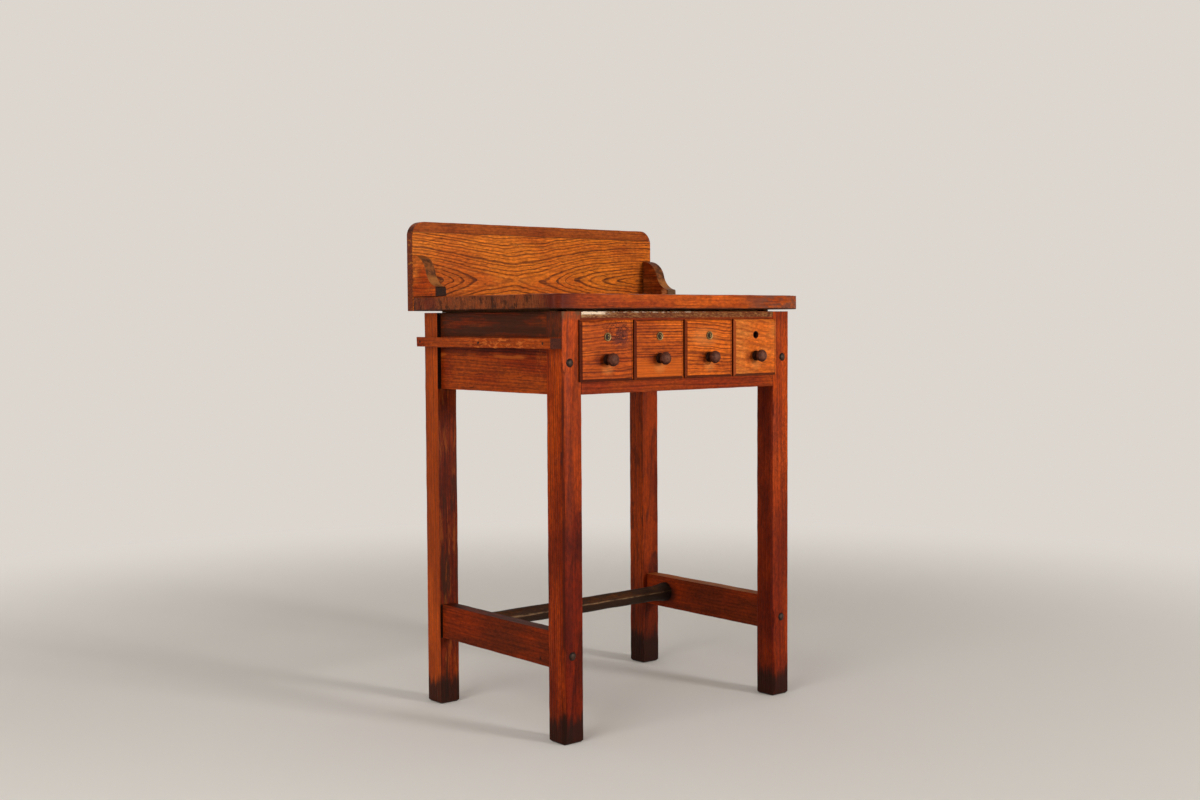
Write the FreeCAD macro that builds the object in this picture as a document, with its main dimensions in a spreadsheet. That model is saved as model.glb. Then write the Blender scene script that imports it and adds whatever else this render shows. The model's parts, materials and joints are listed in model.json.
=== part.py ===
import FreeCAD, Part
import itertools
import math
import os
import re
import Sketcher
from FreeCAD import Rotation, Vector

# A jeweller's bench: four legs joined by aprons, stretchers and two front rails, four lipped drawers,
# a thick top on packing strips, a backboard held by two ogee brackets, a ledge on the left side and
# a turned foot rail.
# Frame: +Z up, the front of the bench towards -Y, the origin on the floor under the middle of the
# bench's outer box. Millimetres.

# Driving sizes: each is set by itself.
SIZES = {
    # legs
    "leg_span_x": (650, "over the outer faces of the legs, side to side"),
    "leg_span_y": (483.5, "over the outer faces of the legs, front to back"),
    "leg_width": (49, "square section of a leg"),
    "leg_height": (865, "length of a leg"),
    "leg_chamfer": (6.5, "width of the chamfer on the left arris of a front leg"),
    "outer_chamfer_stop": (97, "from the top of the left leg down to where its chamfer stops"),
    "inner_chamfer_stop": (20, "from the aprons down to where the right leg's chamfer stops"),
    "chamfer_runout": (24, "length over which a chamfer runs out"),
    "foot_chamfer": (4, "chamfer round the bottom of a leg"),
    # aprons and stretchers
    "apron_height": (166.2, "height of an apron"),
    "apron_thickness": (22, "thickness of an apron"),
    "apron_inset": (8.8, "from a leg's outer face to the apron's outer face"),
    "stretcher_underside": (148.3, "height of the lower edge of a side stretcher"),
    "stretcher_height": (74.5, "height of a side stretcher"),
    "stretcher_thickness": (32, "thickness of a side stretcher"),
    "stretcher_inset": (6.2, "from a leg's outer face to the stretcher's outer face"),
    "tenon_thickness": (10, "thickness of the tenons"),
    "tenon_shoulder": (12, "shoulder above and below a tenon of an apron or stretcher"),
    "tenon_spacing": (1, "wood left between two tenons that meet in a leg"),
    # front rails
    "bottom_rail_height": (30, "height of the front bottom rail"),
    "top_rail_height": (23, "height of the front top rail"),
    "rail_depth": (60, "front rails, front to back"),
    "rail_shoulder": (6, "shoulder round a tenon of a front rail"),
    # drawer fronts and the spaces behind them
    "front_extra_1": (3.45, "the first front, from the left, wider than a quarter of the row"),
    "front_extra_2": (-0.05, "the second front wider than a quarter of the row"),
    "front_extra_3": (1.55, "the third front wider than a quarter of the row"),
    "reveal_1": (3, "between the first and the second front"),
    "reveal_2": (4.8, "between the second and the third front"),
    "reveal_3": (5.7, "between the third and the fourth front"),
    "first_lip": (7, "the first front over the left leg"),
    "last_lip": (4.75, "the last front over the right leg"),
    "side_lip": (5, "a front over the dividers"),
    "lower_lip": (4.8, "a front over the front bottom rail"),
    "upper_lip": (5.8, "a front over the front top rail"),
    "front_proud": (6.5, "a front's face before the legs' front faces"),
    "bevel_width": (5.5, "bevel round a front, seen from the front"),
    "bevel_depth": (3, "bevel round a front, front to back"),
    "tongue_thickness": (12, "the part of a front that enters its opening"),
    "packing_strip_width": (7.3, "the strip between the last drawer and the right leg"),
    "divider_depth": (22, "drawer dividers, front to back"),
    "bearer_margin": (14, "a runner or kicker under or over the side of a drawer"),
    "runner_height": (20, "height of a drawer runner"),
    "guide_height": (20, "height of a drawer guide"),
    # drawer boxes
    "rear_room": (52.7, "from a closed drawer's rear end to the rear apron"),
    "side_thickness": (10, "thickness of a drawer side"),
    "side_headroom": (7.9, "from a drawer side to the top of its opening"),
    "back_thickness": (10, "thickness of a drawer back"),
    "back_setback": (8, "from a drawer back to the rear ends of the sides"),
    "back_drop": (5, "from the top of a drawer side to the top of its back"),
    "bottom_thickness": (6, "thickness of a drawer bottom"),
    "bottom_lift": (8, "drawer bottom above the lower edge of the sides"),
    "groove_depth": (4, "depth of the grooves that hold a drawer's bottom and back"),
    "tail_tip": (20, "width of a dovetail at its tip"),
    "tail_root": (14, "width of a dovetail at its root"),
    # clearances
    "seat_gap": (0.3, "between a closed front and the legs' front faces"),
    "run_gap": (0.3, "between a drawer and the wood that it runs on"),
    "side_gap": (1, "between a drawer and each side of its opening"),
    "head_gap": (1.5, "between a drawer and the top of its opening"),
    "plug_gap": (0.05, "between a lock plug and its bore, all round"),
    "cam_gap": (0.5, "between a lock's cam and its barrel"),
    "slot_gap": (1, "between a lock's raised cam and the slot in the rail"),
    # knobs
    "knob_rise": (39, "the knobs' axes above the front bottom rail"),
    "knob_length": (25.5, "from a front's face to the end of its knob"),
    "knob_base_radius": (11, "radius of a knob at the drawer front"),
    "knob_base_length": (2, "length of the knob's straight base"),
    "knob_neck_length": (12.5, "from the drawer front to where the knob's head begins"),
    "knob_neck_radius": (11.2, "radius where the knob's neck ends and its head begins"),
    "knob_neck_curve": (9.7, "radius of the hollow of the neck"),
    "knob_head_curve": (6.9, "radius of the roll round the head"),
    "knob_crown_radius": (12, "radius of the crown where it meets the roll"),
    "knob_crown_height": (3.5, "height of the domed crown"),
    "knob_spigot_radius": (5, "radius of the spigot glued into the front"),
    "knob_spigot_length": (14, "length of the spigot"),
    # drawer locks
    "lock_drop": (28.6, "the locks' axes below the front top rail"),
    "ring_radius": (9, "radius of a lock's ring"),
    "ring_proud": (1.6, "a lock's ring before the drawer front"),
    "barrel_radius": (7.25, "radius of a lock's barrel and of its hole"),
    "barrel_tail": (5, "a lock's barrel behind the drawer front"),
    "plug_radius": (4.5, "radius of a lock's plug"),
    "plug_recess": (0.3, "a lock's plug behind the ring's face"),
    "keyhole_width": (1.8, "width of the keyhole"),
    "keyhole_height": (6, "height of the keyhole"),
    "keyhole_depth": (8, "depth of the keyhole"),
    "ring_nut_radius": (10.5, "radius of the nut behind the drawer front"),
    "ring_nut_thickness": (4, "thickness of the nut behind the drawer front"),
    "cam_width": (9, "width of a lock's cam"),
    "cam_thickness": (2.5, "thickness of a lock's cam"),
    "cam_bite": (4.2, "how far a raised cam enters the front top rail"),
    # top
    "packing_thickness": (3.8, "packing strips between the frame and the top"),
    "packing_width": (14, "width of a packing strip"),
    "packing_setback": (5, "packing strips behind the outer face that they stand on"),
    "top_thickness": (31.2, "thickness of the top"),
    "end_overhang": (26.7, "the top beyond the legs at each end"),
    "front_overhang": (13.75, "the top before the legs"),
    "rear_overhang": (3.95, "the top behind the legs"),
    "top_corner": (23.4, "radius of the top's front corners"),
    "top_arris": (1.5, "eased edge of the top"),
    # backboard and brackets
    "backboard_thickness": (23.3, "thickness of the backboard"),
    "backboard_rise": (166, "the backboard above the top"),
    "backboard_corner": (32, "radius of the backboard's upper corners"),
    "backboard_arris": (1.2, "eased edge of the backboard and its brackets"),
    "top_strip_height": (23, "height of the strip glued along the top of the backboard"),
    "bracket_thickness": (26, "thickness of a bracket"),
    "bracket_reach": (92, "bracket before the backboard"),
    "bracket_rise": (91.5, "bracket above the top"),
    "shoulder_curve": (53, "radius of the upper, rounded part of a bracket's ogee"),
    "break_reach": (51, "where the ogee turns from round to hollow, before the backboard"),
    "break_rise": (54, "where the ogee turns from round to hollow, above the top"),
    "hollow_curve": (46, "radius of the lower, hollow part of a bracket's ogee"),
    "toe_rise": (21.5, "height of a bracket's toe above the top"),
    "toe_radius": (4.5, "radius of the rounded toe"),
    # ledge, foot rail
    "ledge_drop": (74.2, "from the top of the legs down to the ledge's lower face"),
    "ledge_thickness": (21.7, "thickness of the ledge"),
    "ledge_reach": (29.2, "the ledge beyond the legs' outer faces"),
    "ledge_short": (11.3, "the ledge's rear end before the legs' rear faces"),
    "foot_rail_rise": (38.7, "the foot rail's axis above the lower edge of the stretchers"),
    "foot_rail_setback": (67.75, "the foot rail's axis before the rear legs"),
    "foot_rail_radius": (18.4, "radius of the worn middle of the foot rail"),
    "foot_rail_end_radius": (22.5, "radius of the foot rail's unworn ends"),
    "foot_rail_end": (10, "length of the foot rail's unworn ends"),
    "foot_rail_taper": (32, "length over which the wear sets in"),
    "foot_rail_tenon_radius": (13, "radius of the foot rail's round tenons"),
    "foot_rail_tenon_length": (20, "length of the foot rail's round tenons"),
    # fasteners
    "upper_bolt_drop": (102, "from the top of the legs down to the bolts into the aprons"),
    "lower_bolt_rise": (29.2, "the bolts into the stretchers above the stretchers' lower edge"),
    "bolt_radius": (4, "radius of a frame bolt"),
    "bolt_length": (104, "length of a frame bolt under its head"),
    "bolt_head_radius": (7.6, "radius of a bolt's domed head"),
    "bolt_head_height": (3.6, "height of a bolt's domed head"),
    "nut_width": (14, "width of a square nut"),
    "nut_thickness": (6.5, "thickness of a square nut"),
    "nut_from_end": (12, "from the end of a bolt to the near face of its nut"),
    "screw_radius": (2.1, "radius of a wood screw"),
    "screw_head_radius": (4.2, "radius of a wood screw's head"),
    "screw_head_depth": (2.6, "depth of a wood screw's countersunk head"),
    "screw_grip": (28, "how far a wood screw enters the second piece"),
    "top_screw_grip": (18, "how far a screw enters the top from below"),
    "screw_margin": (70, "from the ends of the backboard to the first screw"),
    "bracket_screw_low": (30, "height of a bracket's lower screw above the top"),
    "bracket_screw_high": (66, "height of a bracket's upper screw above the top"),
    "bracket_foot_screw": (30, "from the backboard to the first screw under a bracket"),
    "bracket_foot_pitch": (32, "between the two screws under a bracket"),
    "bracket_foot_grip": (10, "how far a screw from below enters a bracket"),
    "nail_radius": (1.6, "radius of a ledge nail"),
    "nail_head_radius": (2.6, "radius of a ledge nail's head"),
    "nail_head_depth": (1.2, "depth of a ledge nail's head"),
    "nail_length": (52, "length of a ledge nail"),
    "arris": (1, "eased edge of a planed board"),
}

# Sizes that follow from the driving ones, in the order in which they build on each other.
DERIVED = {
    # the bench's box puts the middle of the legs beside the origin
    "left_reach": "max(ledge_reach; end_overhang)",
    "front_reach": "max(front_proud + knob_length; front_overhang)",
    "rear_reach": "rear_overhang + backboard_thickness",
    "middle_x": "(left_reach - end_overhang) / 2",
    "middle_y": "(front_reach - rear_reach) / 2",
    # faces of the legs
    "left_face": "middle_x - leg_span_x / 2",
    "right_face": "middle_x + leg_span_x / 2",
    "front_face": "middle_y - leg_span_y / 2",
    "rear_face": "middle_y + leg_span_y / 2",
    "inner_left": "left_face + leg_width",
    "inner_right": "right_face - leg_width",
    "inner_front": "front_face + leg_width",
    "inner_rear": "rear_face - leg_width",
    "inner_width": "inner_right - inner_left",
    "inner_depth": "inner_rear - inner_front",
    # aprons, rails and their tenons
    "apron_underside": "leg_height - apron_height",
    "outer_chamfer_top": "leg_height - outer_chamfer_stop",
    "inner_chamfer_top": "apron_underside - inner_chamfer_stop",
    "tenon_length": "leg_width - apron_inset - (apron_thickness + tenon_thickness) / 2 - tenon_spacing",
    "rail_back": "front_face + rail_depth",
    "apron_front": "rear_face - apron_inset - apron_thickness",
    "apron_left_inside": "left_face + apron_inset + apron_thickness",
    "apron_right_inside": "right_face - apron_inset - apron_thickness",
    "opening_floor": "apron_underside + bottom_rail_height",
    "opening_roof": "leg_height - top_rail_height",
    "opening_height": "opening_roof - opening_floor",
    # drawer fronts, openings and boxes
    "reveals": "reveal_1 + reveal_2 + reveal_3",
    "front_share": "(inner_width + first_lip + last_lip - reveals) / 4",
    "front_width_1": "front_share + front_extra_1",
    "front_width_2": "front_share + front_extra_2",
    "front_width_3": "front_share + front_extra_3",
    "front_width_4": "front_share - front_extra_1 - front_extra_2 - front_extra_3",
    "front_bottom": "opening_floor - lower_lip",
    "front_height": "opening_height + lower_lip + upper_lip",
    "front_left_1": "inner_left - first_lip",
    "front_left_2": "front_left_1 + front_width_1 + reveal_1",
    "front_left_3": "front_left_2 + front_width_2 + reveal_2",
    "front_left_4": "front_left_3 + front_width_3 + reveal_3",
    "opening_left_1": "inner_left",
    "opening_left_2": "front_left_2 + side_lip",
    "opening_left_3": "front_left_3 + side_lip",
    "opening_left_4": "front_left_4 + side_lip",
    "opening_right_1": "front_left_1 + front_width_1 - side_lip",
    "opening_right_2": "front_left_2 + front_width_2 - side_lip",
    "opening_right_3": "front_left_3 + front_width_3 - side_lip",
    "opening_right_4": "inner_right - packing_strip_width",
    "box_floor": "opening_floor + run_gap",
    "box_rear": "apron_front - rear_room",
    "side_height": "opening_height - run_gap - side_headroom",
    "tongue_rear": "front_face + tongue_thickness",
    "bottom_top": "box_floor + bottom_lift + bottom_thickness",
    "drawer_face": "front_face - front_proud",
    # knobs and locks
    "knob_crown_start": "knob_length - knob_crown_height",
    "knob_crown_curve": "(knob_crown_radius ^ 2 + knob_crown_height ^ 2) / (2 * knob_crown_height)",
    "barrel_end": "tongue_rear + barrel_tail",
    "cam_front": "barrel_end + cam_gap",
    "plug_end": "cam_front + cam_thickness",
    "knob_height": "opening_floor + knob_rise",
    "lock_height": "opening_roof - lock_drop",
    "cam_length": "lock_drop + cam_bite",
    "slot_half": "sqrt((cam_length + slot_gap) ^ 2 - lock_drop ^ 2)",
    # top, backboard and ledge
    "top_underside": "leg_height + packing_thickness",
    "top_surface": "top_underside + top_thickness",
    "top_left": "left_face - end_overhang",
    "top_right": "right_face + end_overhang",
    "top_length": "leg_span_x + 2 * end_overhang",
    "top_depth": "leg_span_y + front_overhang + rear_overhang",
    "backboard_front": "rear_face + rear_overhang",
    "backboard_height": "top_thickness + backboard_rise",
    "top_strip_underside": "top_surface + backboard_rise - top_strip_height",
    "ledge_length": "leg_span_y - ledge_short",
    "ledge_underside": "leg_height - ledge_drop",
    # foot rail between the stretchers
    "stretcher_gap": "leg_span_x - 2 * (stretcher_inset + stretcher_thickness)",
    "foot_rail_left": "left_face + stretcher_inset + stretcher_thickness",
    "foot_rail_y": "inner_rear - foot_rail_setback",
    "foot_rail_height": "stretcher_underside + foot_rail_rise",
    # frame bolts
    "upper_bolt_height": "leg_height - upper_bolt_drop",
    "lower_bolt_height": "stretcher_underside + lower_bolt_rise",
}

DRAWERS = (1, 2, 3, 4)
LOCKED_DRAWERS = (1, 2, 3)
ENDS = ("left", "right")
TAILS = 3

TURNED_TO_FRONT = Rotation(Vector(1, 0, 0), 90)
TURNED_TO_REAR = Rotation(Vector(1, 0, 0), -90)
TURNED_TO_RIGHT = Rotation(Vector(0, 1, 0), 90)
UPRIGHT = Rotation()

document = FreeCAD.newDocument("jewelers_bench")
sheet = document.addObject("Spreadsheet::Sheet", "Sizes")
subparts = []


def fill_sheet():
    """Write the driving sizes as numbers and the derived ones as formulas, each under its alias."""
    rows = [(name, str(number), words) for name, (number, words) in SIZES.items()]
    rows += [(name, "=" + formula, "follows from the sizes above") for name, formula in DERIVED.items()]
    for row, (name, content, words) in enumerate(rows, 1):
        sheet.set("A%d" % row, name)
        sheet.set("B%d" % row, content)
        sheet.set("C%d" % row, words)
        sheet.setAlias("B%d" % row, name)
    document.recompute()


def bound(formula):
    """A formula in the sheet's words, as an expression that other objects can read."""
    def address(word):
        name = word.group()
        return "Sizes." + name if name in SIZES or name in DERIVED else name
    return re.sub(r"[a-z][a-z_0-9]*", address, formula)


def number(formula):
    """The present value of a formula in the sheet's words."""
    return float(sheet.evalExpression(formula))


def place(piece, x, y, z, turn=UPRIGHT):
    """Put a piece at x, y, z, each a formula in the sheet's words."""
    piece.Placement = FreeCAD.Placement(Vector(), turn)
    for axis, formula in zip("xyz", (x, y, z)):
        piece.setExpression("Placement.Base." + axis, bound(formula))
    return piece


def block(name, x, y, z):
    """A plain block: x, y and z are each a start and a size."""
    piece = document.addObject("Part::Box", name)
    for side, (start, size) in zip(("Length", "Width", "Height"), (x, y, z)):
        piece.setExpression(side, bound(size))
    return place(piece, x[0], y[0], z[0])


def rod(name, radius, length, x, y, z, turn=UPRIGHT):
    """A cylinder whose axis starts at x, y, z."""
    piece = document.addObject("Part::Cylinder", name)
    piece.setExpression("Radius", bound(radius))
    piece.setExpression("Height", bound(length))
    return place(piece, x, y, z, turn)


def fuse(name, *pieces):
    """The pieces as one; pieces that don't meet stay separate solids."""
    whole = document.addObject("Part::MultiFuse", name)
    whole.Shapes = list(pieces)
    whole.Refine = True
    return whole


def group(name, *pieces):
    """Pieces that touch and stay separate solids in one sub-part."""
    together = document.addObject("Part::Compound", name)
    together.Links = list(pieces)
    return together


def cut(name, base, *tools):
    """The base without the space that the tools take."""
    rest = document.addObject("Part::Cut", name)
    rest.Base = base
    rest.Tool = tools[0] if len(tools) == 1 else fuse(name + "_cutters", *tools)
    return rest


def keep(piece):
    """List a finished sub-part; its label names its file."""
    subparts.append(piece)
    return piece


def origin_plane(body, role):
    return next(plane for plane in body.Origin.OriginFeatures if plane.Role == role)


def outline(body, role, corners):
    """A closed sketch on one of the body's planes.

    Each corner is its two coordinates, as formulas, and how the outline goes on from there: None
    for a straight line, or a radius and +1 for an arc that turns left, -1 for one that turns right.
    """
    sketch = body.newObject("Sketcher::SketchObject", body.Name + "_outline")
    sketch.AttachmentSupport = [(origin_plane(body, role), "")]
    sketch.MapMode = "FlatFace"
    points = [Vector(number(across), number(up), 0) for across, up, _ in corners]
    near_ends = []
    far_ends = []
    for index, (_, _, curve) in enumerate(corners):
        start = points[index]
        end = points[(index + 1) % len(points)]
        if curve is None:
            sketch.addGeometry(Part.LineSegment(start, end), False)
            near_ends.append(1)
            far_ends.append(2)
            continue
        radius = number(curve[0])
        chord = end - start
        sagitta = radius - math.sqrt(radius ** 2 - (chord.Length / 2) ** 2)
        outwards = Vector(chord.y, -chord.x, 0).normalize() * (sagitta * curve[1])
        middle = (start + end) * 0.5 + outwards
        turns_left = curve[1] > 0
        first, last = (start, end) if turns_left else (end, start)
        sketch.addGeometry(Part.Arc(first, middle, last), False)
        near_ends.append(1 if turns_left else 2)
        far_ends.append(2 if turns_left else 1)
    for index, (across, up, curve) in enumerate(corners):
        previous = index - 1 if index else len(corners) - 1
        sketch.addConstraint(Sketcher.Constraint(
            "Coincident", previous, far_ends[previous], index, near_ends[index]))
        for kind, formula in (("DistanceX", across), ("DistanceY", up)):
            rule = sketch.addConstraint(Sketcher.Constraint(
                kind, -1, 1, index, near_ends[index], number(formula)))
            if formula != "0":
                sketch.setExpression("Constraints[%d]" % rule, bound(formula))
        if curve is not None:
            rule = sketch.addConstraint(Sketcher.Constraint("Radius", index, number(curve[0])))
            sketch.setExpression("Constraints[%d]" % rule, bound(curve[0]))
    return sketch


def pad(body, sketch, length):
    feature = body.newObject("PartDesign::Pad", body.Name + "_pad")
    feature.Profile = sketch
    feature.setExpression("Length", bound(length))
    document.recompute()
    return feature


def turn_round(body, sketch, axis):
    """Revolve the sketch about its own axis, H_Axis or V_Axis."""
    feature = body.newObject("PartDesign::Revolution", body.Name + "_turned")
    feature.Profile = sketch
    feature.ReferenceAxis = (sketch, [axis])
    feature.Angle = 360
    document.recompute()
    return feature


def ease(body, feature, size, chosen=None):
    """Chamfer the edges that `chosen` picks, or all of them."""
    edges = ["Edge%d" % count for count, edge in enumerate(feature.Shape.Edges, 1)
             if chosen is None or chosen(edge)]
    chamfer = body.newObject("PartDesign::Chamfer", body.Name + "_eased")
    chamfer.Base = (feature, edges)
    chamfer.setExpression("Size", bound(size))
    body.Tip = chamfer
    document.recompute()
    return chamfer


def runs_along(axis):
    """Picks the edges that lie along one axis, given as a vector."""
    return lambda edge: abs(edge.tangentAt(edge.FirstParameter).dot(axis)) > 0.999


def board(name, x, y, z, grain, eased="arris"):
    """A planed board: x, y and z are each a start and a size, and its long arrises are eased."""
    body = document.addObject("PartDesign::Body", name)
    corners = [("0", "0", None), (x[1], "0", None), (x[1], y[1], None), ("0", y[1], None)]
    blank = pad(body, outline(body, "XY_Plane", corners), z[1])
    ease(body, blank, eased, runs_along(grain))
    return place(body, x[0], y[0], z[0])


ALONG_X = Vector(1, 0, 0)
ALONG_Y = Vector(0, 1, 0)


# ---- legs ---------------------------------------------------------------------------------------

def leg_corner(end, row):
    """Where a leg's section starts."""
    x = "left_face" if end == "left" else "inner_right"
    y = "front_face" if row == "front" else "inner_rear"
    return x, y


def leg_chamfer(name, end, x, y):
    """The wood taken off the left arris of a front leg; the cutter runs out to a point at its top."""
    top = "outer_chamfer_top" if end == "left" else "inner_chamfer_top"
    prism = document.addObject("Part::Prism", name + "_chamfer")
    prism.Polygon = 4
    prism.setExpression("Circumradius", bound("leg_chamfer"))
    prism.setExpression("Height", bound(top + " - chamfer_runout"))
    place(prism, x, y, "0")
    point = document.addObject("Part::Wedge", name + "_chamfer_runout")
    half = "leg_chamfer / sqrt(2)"
    for low, high in (("Xmin", "Xmax"), ("Zmin", "Zmax")):
        point.setExpression(low, bound("0 - " + half))
        point.setExpression(high, bound(half))
    point.X2min = point.X2max = point.Z2min = point.Z2max = 0
    point.Ymin = 0
    point.setExpression("Ymax", bound("chamfer_runout"))
    lying_diagonally = Rotation(Vector(0, 0, 1), 45).multiply(Rotation(Vector(1, 0, 0), 90))
    place(point, x, y, top + " - chamfer_runout", lying_diagonally)
    return [prism, point]


def leg_blank(name, end, row):
    """A square leg with its foot chamfered."""
    x, y = leg_corner(end, row)
    body = document.addObject("PartDesign::Body", name)
    square = [("0", "0", None), ("leg_width", "0", None),
              ("leg_width", "leg_width", None), ("0", "leg_width", None)]
    blank = pad(body, outline(body, "XY_Plane", square), "leg_height")
    ease(body, blank, "foot_chamfer", lambda edge: edge.BoundBox.ZMax < blank.Shape.BoundBox.ZMin + 0.1)
    return place(body, x, y, "0")


def make_legs(joined):
    """The legs, with a mortise or a hole for everything in `joined` that enters them."""
    for end, row in itertools.product(ENDS, ("front", "rear")):
        name = "leg_%s_%s" % (row, end)
        x, y = leg_corner(end, row)
        shaped = leg_blank(name + "_blank", end, row)
        if row == "front":
            shaped = cut(name + "_shaped", shaped, *leg_chamfer(name, end, x, y))
        keep(cut(name, shaped, *joined(end, row)))


# ---- aprons, stretchers and front rails ---------------------------------------------------------

def tenoned_side_board(name, x, thickness, z, height):
    """A board between a front and a rear leg, with a tenon at each end."""
    middle = board(name + "_board", (x, thickness), ("inner_front", "inner_depth"), (z, height), ALONG_Y)
    tenons = block(
        name + "_tenons",
        ("%s + (%s - tenon_thickness) / 2" % (x, thickness), "tenon_thickness"),
        ("inner_front - tenon_length", "inner_depth + 2 * tenon_length"),
        (z + " + tenon_shoulder", height + " - 2 * tenon_shoulder"))
    return fuse(name + "_blank", middle, tenons)


def side_apron(end):
    x = "left_face + apron_inset" if end == "left" else "right_face - apron_inset - apron_thickness"
    return tenoned_side_board("apron_" + end, x, "apron_thickness", "apron_underside", "apron_height")


def side_stretcher(end):
    outer = "left_face + stretcher_inset"
    if end == "right":
        outer = "right_face - stretcher_inset - stretcher_thickness"
    return tenoned_side_board(
        "stretcher_" + end, outer, "stretcher_thickness", "stretcher_underside", "stretcher_height")


def rear_apron():
    middle = board(
        "apron_rear_board", ("inner_left", "inner_width"), ("apron_front", "apron_thickness"),
        ("apron_underside", "apron_height"), ALONG_X)
    tenons = block(
        "apron_rear_tenons",
        ("inner_left - tenon_length", "inner_width + 2 * tenon_length"),
        ("apron_front + (apron_thickness - tenon_thickness) / 2", "tenon_thickness"),
        ("apron_underside + tenon_shoulder", "apron_height - 2 * tenon_shoulder"))
    return fuse("apron_rear_blank", middle, tenons)


def front_rail(name, z, height):
    """A rail lying flat between the front legs, flush with their front faces."""
    middle = board(
        name + "_board", ("inner_left", "inner_width"), ("front_face", "rail_depth"), (z, height),
        ALONG_X)
    tenons = block(
        name + "_tenons",
        ("inner_left - tenon_length", "inner_width + 2 * tenon_length"),
        ("front_face + rail_shoulder", "leg_width - 2 * rail_shoulder"),
        (z + " + rail_shoulder", height + " - 2 * rail_shoulder"))
    return fuse(name + "_blank", middle, tenons)


def cam_slots():
    """Slots in the underside of the front top rail, where the locks' cams stand when they are up."""
    return [
        block("cam_slot_%d" % count,
              (front_middle(count) + " - slot_half", "2 * slot_half"),
              ("front_face", "rail_depth"),
              ("opening_roof", "cam_bite + slot_gap"))
        for count in LOCKED_DRAWERS]


# ---- inside the carcass -------------------------------------------------------------------------

def bearer_spans():
    """Start and size across the bench of each bearer between and beside the drawers.

    The first and last lie against the side aprons, the others stand behind the dividers.
    """
    spans = [("apron_left_inside", "inner_left - apron_left_inside")]
    for count in DRAWERS[:-1]:
        start = "opening_right_%d" % count
        spans.append((start, "opening_left_%d - %s" % (count + 1, start)))
    spans.append(("opening_right_4", "apron_right_inside - opening_right_4"))
    return spans


def widened(span, left, right):
    """A bearer's span, widened by the bearing margin on the sides that carry a drawer."""
    start, size = span
    if left:
        start = start + " - bearer_margin"
    return start, "%s + bearer_margin * %d" % (size, left + right)


def bearer_run(first, last):
    """Start and size from front to back: the end bearers stop at the rear legs."""
    end = "inner_rear" if first or last else "apron_front"
    return "rail_back", end + " - rail_back"


def make_bearers():
    """Runners under the drawers, guides beside them and kickers over them."""
    spans = bearer_spans()
    runners, guides, kickers = [], [], []
    for count, span in enumerate(spans):
        first, last = count == 0, count == len(spans) - 1
        wide = widened(span, not first, not last)
        run = bearer_run(first, last)
        runners.append(block(
            "runner_%d" % count, wide, run, ("opening_floor - runner_height", "runner_height")))
        guides.append(block("guide_%d" % count, span, run, ("opening_floor", "guide_height")))
        kickers.append(block("kicker_%d" % count, wide, run, ("opening_roof", "top_rail_height")))
    keep(group("drawer_runners", *runners))
    keep(group("drawer_guides", *guides))
    return group("kicker_blanks", *kickers)


def make_dividers():
    """Uprights between the front rails, and the packing strip beside the last drawer."""
    uprights = []
    for count in DRAWERS[:-1]:
        start, size = bearer_spans()[count]
        uprights.append(block(
            "divider_%d" % count, (start, size), ("front_face", "divider_depth"),
            ("opening_floor", "opening_height")))
    keep(group("drawer_dividers", *uprights))
    keep(block(
        "drawer_packing_strip", ("opening_right_4", "inner_right - opening_right_4"),
        ("front_face", "divider_depth"), ("opening_floor", "opening_height")))


# ---- fasteners ----------------------------------------------------------------------------------

def frame_bolt(name, x, z, row):
    """A domed bolt through a leg into the end of an apron or stretcher."""
    face, inwards, outwards = "front_face", TURNED_TO_REAR, TURNED_TO_FRONT
    if row == "rear":
        face, inwards, outwards = "rear_face", TURNED_TO_FRONT, TURNED_TO_REAR
    shank = rod(name + "_shank", "bolt_radius", "bolt_length", x, face, z, inwards)
    head = document.addObject("Part::Ellipsoid", name + "_head")
    head.setExpression("Radius1", bound("bolt_head_height"))
    head.setExpression("Radius2", bound("bolt_head_radius"))
    head.setExpression("Radius3", bound("bolt_head_radius"))
    head.Angle1 = 0
    head.Angle2 = 90
    place(head, x, face, z, outwards)
    return fuse(name, shank, head)


def frame_nut(name, x, z, row, wood, end):
    """A square nut near the end of a bolt, and the slot that it is pushed in through.

    An apron's slot opens to the inside, a stretcher's to below.
    """
    y = "front_face + bolt_length - nut_from_end"
    if row == "rear":
        y = "rear_face - bolt_length + nut_from_end - nut_thickness"
    across = (x + " - nut_width / 2", "nut_width")
    upright = (z + " - nut_width / 2", "nut_width")
    nut = block(name, across, (y, "nut_thickness"), upright)
    if wood == "stretcher":
        upright = ("stretcher_underside", z + " + nut_width / 2 - stretcher_underside")
    else:
        start = across[0] if end == "left" else x + " - apron_thickness / 2"
        across = (start, "(nut_width + apron_thickness) / 2")
    return nut, block(name + "_slot", across, (y, "nut_thickness"), upright)


def make_frame_bolts():
    """Four bolts a side; returns them by end and row, and the nuts' slots by end and board."""
    bolts, nuts, slots = {}, [], {}
    boards = (("apron", "upper_bolt_height"), ("stretcher", "lower_bolt_height"))
    for end, row, (wood, height) in itertools.product(ENDS, ("front", "rear"), boards):
        x = "left_face + %s_inset + %s_thickness / 2" % (wood, wood)
        if end == "right":
            x = "right_face - %s_inset - %s_thickness / 2" % (wood, wood)
        name = "bolt_%s_%s_%s" % (wood, row, end)
        bolt = frame_bolt(name, x, height, row)
        nut, slot = frame_nut(name.replace("bolt", "nut"), x, height, row, wood, end)
        bolts.setdefault((end, row), []).append(bolt)
        slots.setdefault((wood, end), []).append(slot)
        nuts.append(nut)
    every_bolt = group("frame_bolts", *itertools.chain(*bolts.values()))
    keep(every_bolt)
    keep(cut("frame_nuts", group("nut_blanks", *nuts), every_bolt))
    return bolts, slots, every_bolt


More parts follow.
